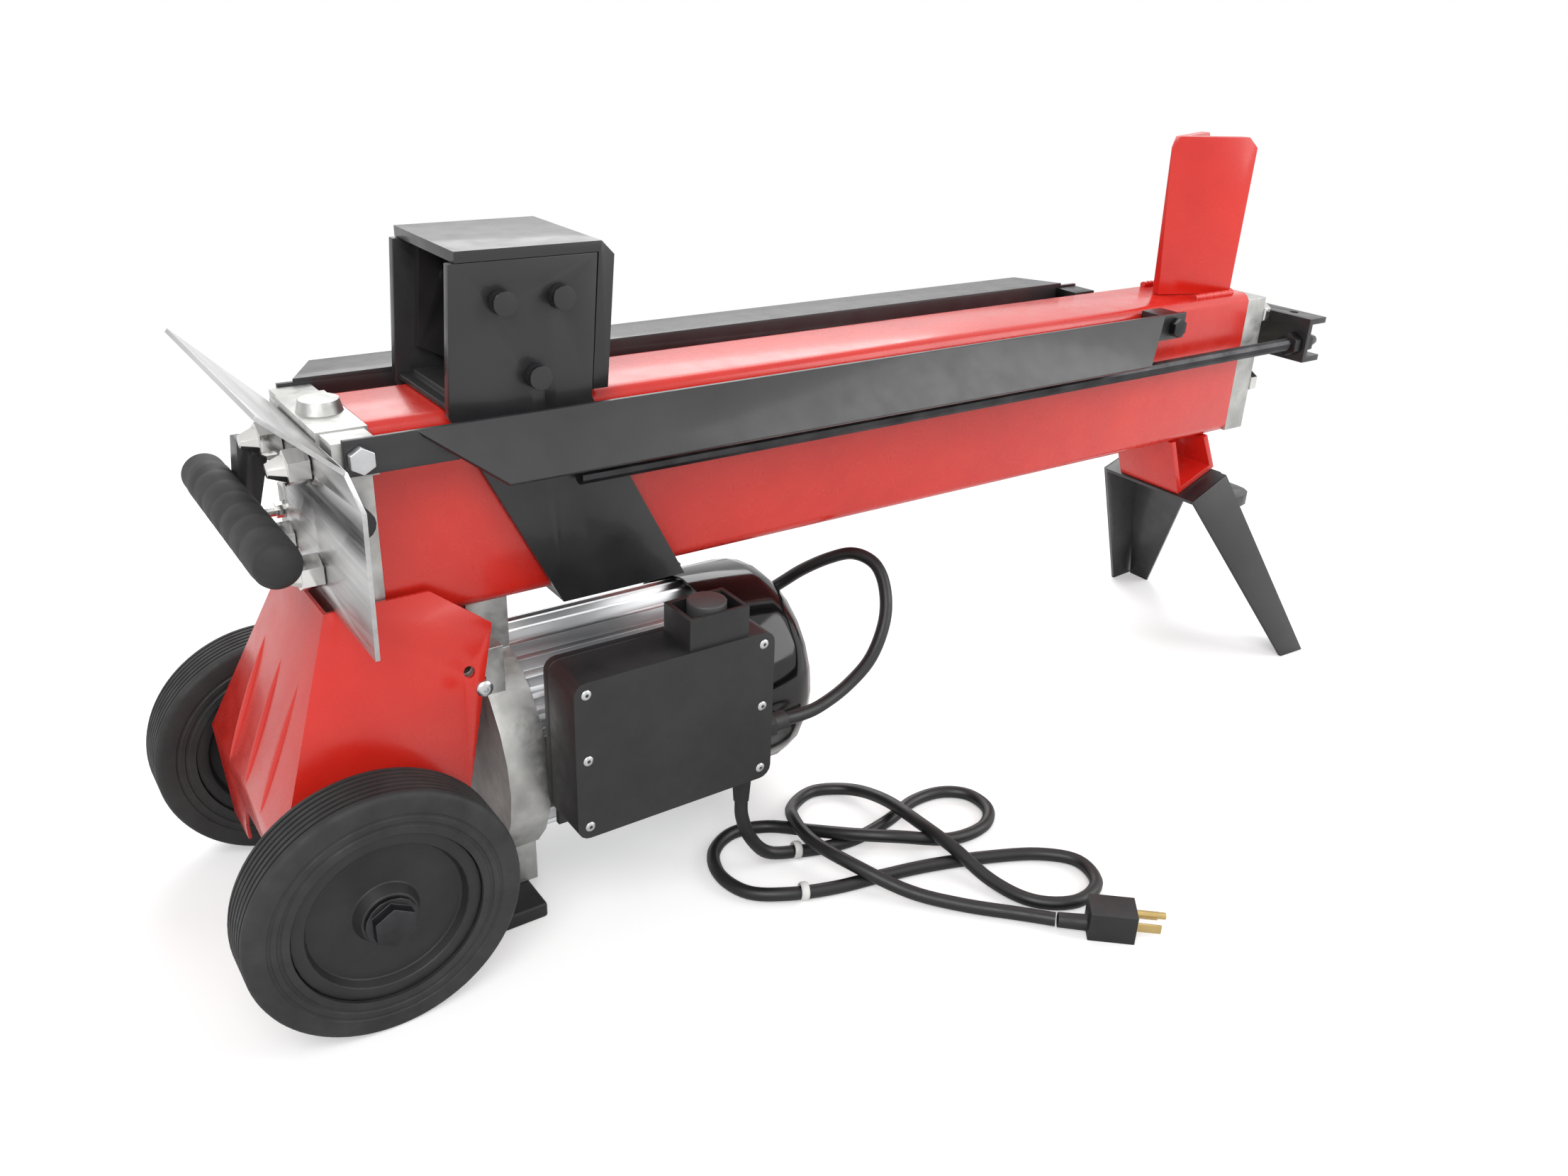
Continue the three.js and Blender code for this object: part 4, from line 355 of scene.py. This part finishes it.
# ---- carried-over CAD pieces -------------------------------------------------------------
# Plain pieces keep their CAD shape and take their finish here; sheet and cast pieces get the
# small edge radii of bent sheet and castings further down.
CAD_FINISHES = {
    "cylinder_barrel": black_oxide, "rod_gland": turned_brass, "piston_rod": bright_nickel,
    "piston": black_oxide, "return_spring": black_oxide, "valve_spool": bright_nickel,
    "motor_stator": copper_wire, "motor_rotor": black_oxide, "pump_drive_gear": black_oxide,
    "pump_driven_gear": black_oxide, "bearing_front": zinc_plate, "bearing_rear": zinc_plate,
    "cooling_fan": black_moulding, "start_switch": white_moulding, "motor_capacitor": zinc_plate,
}
for node, material in CAD_FINISHES.items():
    wear(frame["nodes"][node], material)


def dressed(node, material, slot, edge=0.8, smooth=32):
    """A copy of the CAD piece with its edges rounded as folded, cast or moulded edges are."""
    deselect()
    source = frame["nodes"][node]
    piece = bpy.data.objects.new(node + "_finished", source.data.copy())
    bpy.context.scene.collection.objects.link(piece)
    bpy.context.view_layer.objects.active = piece
    piece.select_set(True)
    bpy.ops.object.mode_set(mode="EDIT")
    bpy.ops.mesh.select_all(action="SELECT")
    bpy.ops.mesh.remove_doubles(threshold=0.000005)
    bpy.ops.mesh.dissolve_limited(angle_limit=math.radians(0.5))
    bpy.ops.object.mode_set(mode="OBJECT")
    if edge:
        bevel = piece.modifiers.new("edges", "BEVEL")
        bevel.width = edge * MM
        bevel.segments = 3
        bevel.limit_method = "ANGLE"
        bevel.angle_limit = math.radians(smooth)
        bpy.ops.object.modifier_apply(modifier=bevel.name)
    bpy.ops.object.shade_smooth_by_angle(angle=math.radians(smooth))
    finish_piece(piece, material, BODY_OF[node])
    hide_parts(node)
    return piece


def finish_piece(piece, material, body):
    wear(piece, material)
    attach(piece, body)


BODY_OF = {node: body for body, nodes in frame["record"]["behaviour"]["bodies"].items()
           for node in (nodes["nodes"] if isinstance(nodes, dict) else nodes)}


def turned(name, profile, centre, axis, steps=64):
    """A turned piece: the profile's (radius, along) points are extruded one by one, then spun."""
    centre = Vector(centre)
    out, along = {"x": (Vector((0, 0, 1)), Vector((1, 0, 0))),
                  "y": (Vector((1, 0, 0)), Vector((0, 1, 0))),
                  "z": (Vector((1, 0, 0)), Vector((0, 0, 1)))}[axis]
    places = [centre + out * (r * MM) + along * (a * MM) for r, a in profile]
    deselect()
    bpy.ops.mesh.primitive_plane_add(size=0.01, location=(0, 0, 0))
    piece = bpy.context.object
    piece.name = name
    bpy.ops.object.mode_set(mode="EDIT")
    bpy.ops.mesh.select_mode(type="VERT")
    bpy.ops.mesh.select_all(action="SELECT")
    bpy.ops.mesh.merge(type="CENTER")
    bpy.ops.transform.translate(value=places[0])
    for before, place in zip(places, places[1:]):
        bpy.ops.mesh.extrude_vertices_move(TRANSFORM_OT_translate={"value": place - before})
    bpy.ops.mesh.select_all(action="SELECT")
    bpy.ops.mesh.spin(steps=steps, angle=math.tau, center=centre, axis=along)
    bpy.ops.mesh.select_all(action="SELECT")
    bpy.ops.mesh.remove_doubles(threshold=0.00001)
    bpy.ops.mesh.normals_make_consistent(inside=False)
    bpy.ops.object.mode_set(mode="OBJECT")
    bpy.ops.object.shade_smooth_by_angle(angle=math.radians(38))
    return piece


# ---- folded, cast and moulded pieces ---------------------------------------------------------
# Painted sheet has edges of about a millimetre, castings about two, mouldings one and a half.
FINISHED = [
    ("beam_tube", red_coat, "beam_red", 4.0), ("wedge", red_coat, "beam_red", 1.0),
    ("front_bracket", red_coat, "beam_red", 1.2), ("rear_skirt", red_coat, "beam_red", 0.6),
    ("ram_carriage", black_coat, "black_paint", 0.8), ("ram_pusher", black_coat, "black_paint", 0.8),
    ("guide_shoe", black_moulding, "plastic", 0.8), ("front_leg", black_coat, "black_paint", 0.8),
    ("carry_handle", black_coat, "black_paint", 1.2), ("lever_arm", black_coat, "black_paint", 0.6),
    ("log_table_near", black_coat, "black_paint", 0.8), ("log_table_far", black_coat, "black_paint", 0.8),
    ("motor_foot", black_moulding, "rubber", 2.0), ("crossbar", black_coat, "black_paint", 1.0),
    ("rear_cap", cast_alloy, "cast_alu", 1.4), ("front_plate", cast_alloy, "cast_alu", 1.0),
    ("motor_flange", cast_alloy, "cast_alu", 1.2), ("motor_end_shield", cast_alloy, "cast_alu", 1.0),
    ("motor_housing", extruded_alloy, "cast_alu", 0.4), ("guard_plate", brushed_sheet, "sheet_steel", 0.5),
    ("fan_cover", gloss_enamel, "gloss_cover", 1.2), ("switch_box_back", black_moulding, "plastic", 1.2),
    ("switch_box_cover", black_moulding, "plastic", 1.6), ("start_button", grey_moulding, "plastic", 1.0),
    ("wheel_hub_near", black_moulding, "plastic", 0.8), ("wheel_hub_far", black_moulding, "plastic", 0.8),
    ("strain_relief", black_moulding, "rubber", 0.4), ("plug", black_moulding, "rubber", 1.4),
    ("axle", black_oxide, "dark_steel", 0.8), ("tie_rod_near", black_oxide, "dark_steel", 0.5),
    ("tie_rod_far", black_oxide, "dark_steel", 0.5), ("table_through_bolt", zinc_plate, "zinc", 0.4),
    ("table_post_near", black_oxide, "dark_steel", 0.5), ("table_post_far", black_oxide, "dark_steel", 0.5),
    ("leg_bolt", zinc_plate, "zinc", 0.4), ("bleed_screw", black_moulding, "plastic", 0.6),
    ("stud_near_low", bright_nickel, "chrome", 0.5), ("stud_near_high", bright_nickel, "chrome", 0.5),
    ("stud_far_low", bright_nickel, "chrome", 0.5), ("stud_far_high", bright_nickel, "chrome", 0.5),
]
finished = {row[0]: dressed(*row) for row in FINISHED}

# ---- plug blades -----------------------------------------------------------------------------
# The plug's three contacts are plated brass; the rest of it is moulded over the cord's end.
PLUG_PLACE, PLUG_BODY_END = at(344, -262, 0), 50.4
PLUG_HEADING = Vector((43, -38, 0)).normalized()
plug = finished["plug"]
plug.data.materials.append(turned_brass)
for face in plug.data.polygons:
    if (face.center - PLUG_PLACE).dot(PLUG_HEADING) > PLUG_BODY_END * MM:
        face.material_index = 1

# ---- ram screws ------------------------------------------------------------------------------
# Three black socket-head screws clamp each side plate of the ram box: a round head
# with a shallow recess in its end.
SCREW_HEAD, SCREW_SOCKET = 6.8, 3.6
RAM_SCREWS = ((75, 391), (110, 391), (94, 348))
RAM_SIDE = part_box("ram_pusher")[1][1] / MM


def socket_ring(name, place, side):
    """A rim with a round recess, set at the end of a screw head."""
    deselect()
    bpy.ops.mesh.primitive_cylinder_add(vertices=48, radius=SCREW_HEAD * MM, depth=0.0016,
                                        rotation=(math.pi / 2, 0, 0), location=(0, 0, 0))
    head = bpy.context.object
    head.name = name
    bpy.ops.object.transform_apply(rotation=True)
    bpy.ops.object.mode_set(mode="EDIT")
    bpy.ops.mesh.select_mode(type="FACE")
    bpy.ops.mesh.select_all(action="DESELECT")
    bpy.ops.object.mode_set(mode="OBJECT")
    for face in head.data.polygons:
        face.select = face.normal.y * side > 0.9
    bpy.ops.object.mode_set(mode="EDIT")
    bpy.ops.mesh.inset(thickness=0.0006, depth=0.0004)
    bpy.ops.mesh.inset(thickness=(SCREW_HEAD - SCREW_SOCKET) * MM - 0.0006, depth=0)
    bpy.ops.mesh.inset(thickness=0.00005, depth=-0.0012)
    bpy.ops.object.mode_set(mode="OBJECT")
    head.data.transform(Matrix.Translation(place))
    bpy.ops.object.shade_smooth_by_angle(angle=math.radians(35))
    finish_piece(head, black_oxide, "ram")


for number, (x, z) in enumerate(RAM_SCREWS):
    for side, name in ((-1, "near"), (1, "far")):
        place = at(x, side * (RAM_SIDE - 1.25), z)
        socket_ring("ram_screw_%s_%d" % (name, number), place, side)

# ---- skirt ribs ------------------------------------------------------------------------------
# Pressed ribs stiffen the skirt's sloping back panel; each is a long low ridge that fades out.
RIB_TOP, RIB_FOOT = 188.0, 108.0
RIB_RADIUS, RIB_SUNK = 3.0, 1.2
RIB_STEP_MOST = 6.0


def rib(name, y):
    """One ridge on the back panel, found by casting a ray on to the skirt from behind."""
    skirt = finished["rear_skirt"]
    places = []
    for k in range(25):
        z = RIB_TOP + (RIB_FOOT - RIB_TOP) * k / 24
        hit, place, normal, face = skirt.ray_cast(Vector((-0.6, y * MM, z * MM)), Vector((1, 0, 0)))
        if places and (not hit or (place - places[-1]).length > RIB_STEP_MOST * MM):
            break
        if hit:
            places.append(place + Vector((RIB_SUNK * MM, 0, 0)))
    if len(places) < 4:
        return
    line = laid_line(name, places, RIB_RADIUS, red_coat, 6)
    knots = line.data.splines[0].points
    for k, knot in enumerate(knots):
        knot.radius = math.sin(math.pi * (0.06 + 0.88 * k / (len(knots) - 1))) ** 0.6
    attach(line, "frame")


bpy.context.view_layer.update()
for number, y in enumerate((-34.0, 0.0, 34.0)):
    rib("skirt_rib_%d" % number, y)

# ---- tyres -----------------------------------------------------------------------------------
# Solid rubber tyres: straight grooves run round the tread, fine rings run round each side wall.
TYRE_OUT, TYRE_IN, TYRE_WIDTH = 78.0, 53.9, 33.0
GROOVES, GROOVE_DEEP, GROOVE_WIDE = 6, 1.8, 1.6
TYRE_SHOULDER = 3.5


def tyre_profile(first):
    """One closed section: bore, side wall with rings, shoulder, grooved tread and back."""
    last = first + TYRE_WIDTH
    side = [(TYRE_IN, 0.0), (58.0, 0.0), (58.6, 0.7), (60.2, 0.7), (60.8, 0.0), (63.5, 0.0), (64.1, 0.6),
            (65.5, 0.6), (66.1, 0.0), (70.0, 0.0), (TYRE_OUT - TYRE_SHOULDER, 0.6)]
    for k in range(1, 4):
        turn = math.radians(30 * k)
        side.append((TYRE_OUT - TYRE_SHOULDER + TYRE_SHOULDER * math.sin(turn),
                     0.6 + TYRE_SHOULDER * (1 - math.cos(turn))))
    tread = []
    pitch = (TYRE_WIDTH - 2 * (TYRE_SHOULDER + 0.6)) / GROOVES
    for k in range(GROOVES):
        middle = TYRE_SHOULDER + 0.6 + pitch * (k + 0.5)
        for step, radius in ((-0.5, TYRE_OUT), (-0.35, TYRE_OUT - GROOVE_DEEP),
                             (0.35, TYRE_OUT - GROOVE_DEEP), (0.5, TYRE_OUT)):
            tread.append((radius, middle + step * GROOVE_WIDE))
    whole = [(r, first + a) for r, a in side] + [(r, first + a) for r, a in tread]
    whole += [(r, last - a) for r, a in reversed(side)]
    return whole + [whole[0]]


WHEEL_PLACE = tuple(at(-41, 0, 78))
for side, first in (("near", -121.0), ("far", 88.0)):
    tyre = turned("tyre_" + side + "_grooved", tyre_profile(first), WHEEL_PLACE, "y", 96)
    finish_piece(tyre, tyre_rubber, "wheel_" + side)
    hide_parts("tyre_" + side)

# ---- lever grip ------------------------------------------------------------------------------
# A moulded rubber sleeve with a rounded closed end and shallow finger rings.
GRIP_RADIUS, GRIP_START, GRIP_END = 13.0, -84.0, 77.0
GRIP_RINGS = 7
grip_section = [(0, GRIP_START)]
for k in range(1, 7):
    turn = math.radians(15 * k)
    grip_section.append((GRIP_RADIUS * math.sin(turn) - 0.4, GRIP_START + 7 * (1 - math.cos(turn))))
ring_pitch = (GRIP_END - GRIP_START - 24) / GRIP_RINGS
for k in range(GRIP_RINGS):
    start = GRIP_START + 12 + k * ring_pitch
    grip_section += [(GRIP_RADIUS - 0.4, start), (GRIP_RADIUS, start + 2)]
    grip_section += [(GRIP_RADIUS, start + ring_pitch - 4), (GRIP_RADIUS - 0.4, start + ring_pitch - 2)]
grip_section += [(GRIP_RADIUS - 0.4, GRIP_END - 1), (GRIP_RADIUS - 1.4, GRIP_END), (0, GRIP_END)]
grip = turned("lever_grip_sleeve", grip_section, at(-64, 0, 279), "y", 48)
finish_piece(grip, grip_rubber, "lever")
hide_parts("lever_grip")


# ---- small screws ----------------------------------------------------------------------------
# Pan-head screws hold the box cover and the skirt: a domed head with a socket in its middle.
def pan_screw(name, place, axis, radius, height, side):
    section = [(0, -1.0 * side), (radius, -1.0 * side), (radius, 0.35 * height * side),
               (radius * 0.82, 0.8 * height * side), (radius * 0.45, height * side),
               (radius * 0.34, height * side), (radius * 0.26, 0.3 * height * side), (0, 0.3 * height * side)]
    screw = turned(name, section, place, axis, 24)
    finish_piece(screw, zinc_plate, "frame")
    return screw


COVER_FACE_Y = -119.2
COVER_SCREW, SKIRT_SCREW = (3.4, 1.6), (5.0, 2.4)
for row, z in enumerate((92.0, 138.0, 182.0)):
    for column, x in enumerate((82.0, 204.0)):
        pan_screw("cover_screw_%d_%d" % (row, column), at(x, COVER_FACE_Y, z), "y",
                  *COVER_SCREW, -1)
for side, name in ((-1, "near"), (1, "far")):
    pan_screw("skirt_screw_" + name, at(38, side * 79.4, 180), "y", *SKIRT_SCREW, side)


# ---- weld beads ------------------------------------------------------------------------------
# The wedge is welded along both sides and the back of its foot, in rippled beads.
def weld(name, points, radius):
    line = laid_line(name, points, radius, red_coat, 3)
    for k, knot in enumerate(line.data.splines[0].points):
        knot.radius = 1.0 + 0.16 * math.sin(k * 2.1) + 0.05 * math.sin(k * 5.3)
    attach(line, "frame")


def along(start, end, pitch=1.6):
    a, b = at(*start), at(*end)
    count = max(2, round((b - a).length / (pitch * MM)))
    return [a.lerp(b, k / count) for k in range(count + 1)]


for side, name in ((-1, "near"), (1, "far")):
    y = side * 27.4
    weld("wedge_weld_" + name, along((690, y, 332.2), (738, y, 332.2)), 2.6)
weld("wedge_weld_back", along((740.4, -25, 332.2), (740.4, 25, 332.2)), 2.6)

# ---- cord ties -----------------------------------------------------------------------------
# Two nylon bands hold the loops.
TIE_RADIUS, TIE_WALL = 0.0052, 0.0011


def tie(name, place, heading):
    deselect()
    bpy.ops.mesh.primitive_torus_add(major_segments=40, minor_segments=10, major_radius=TIE_RADIUS,
                                     minor_radius=TIE_WALL, location=(0, 0, 0))
    band = bpy.context.object
    band.name = name
    bpy.ops.object.mode_set(mode="EDIT")
    bpy.ops.mesh.select_all(action="SELECT")
    bpy.ops.transform.resize(value=(1, 1, 2.6))
    bpy.ops.object.mode_set(mode="OBJECT")
    turn = Vector((0, 0, 1)).rotation_difference(heading).to_matrix().to_4x4()
    band.data.transform(Matrix.Translation(place) @ turn)
    bpy.ops.object.shade_smooth()
    finish_piece(band, white_moulding, "frame")
    return band


TIE_LIFT = Vector((0, 0, 0.0014))
for number, index in enumerate((24, 134)):
    ahead = (cord_points[index + 1] - cord_points[index - 1]).normalized()
    tie("cord_tie_%d" % number, cord_points[index] + TIE_LIFT, ahead)
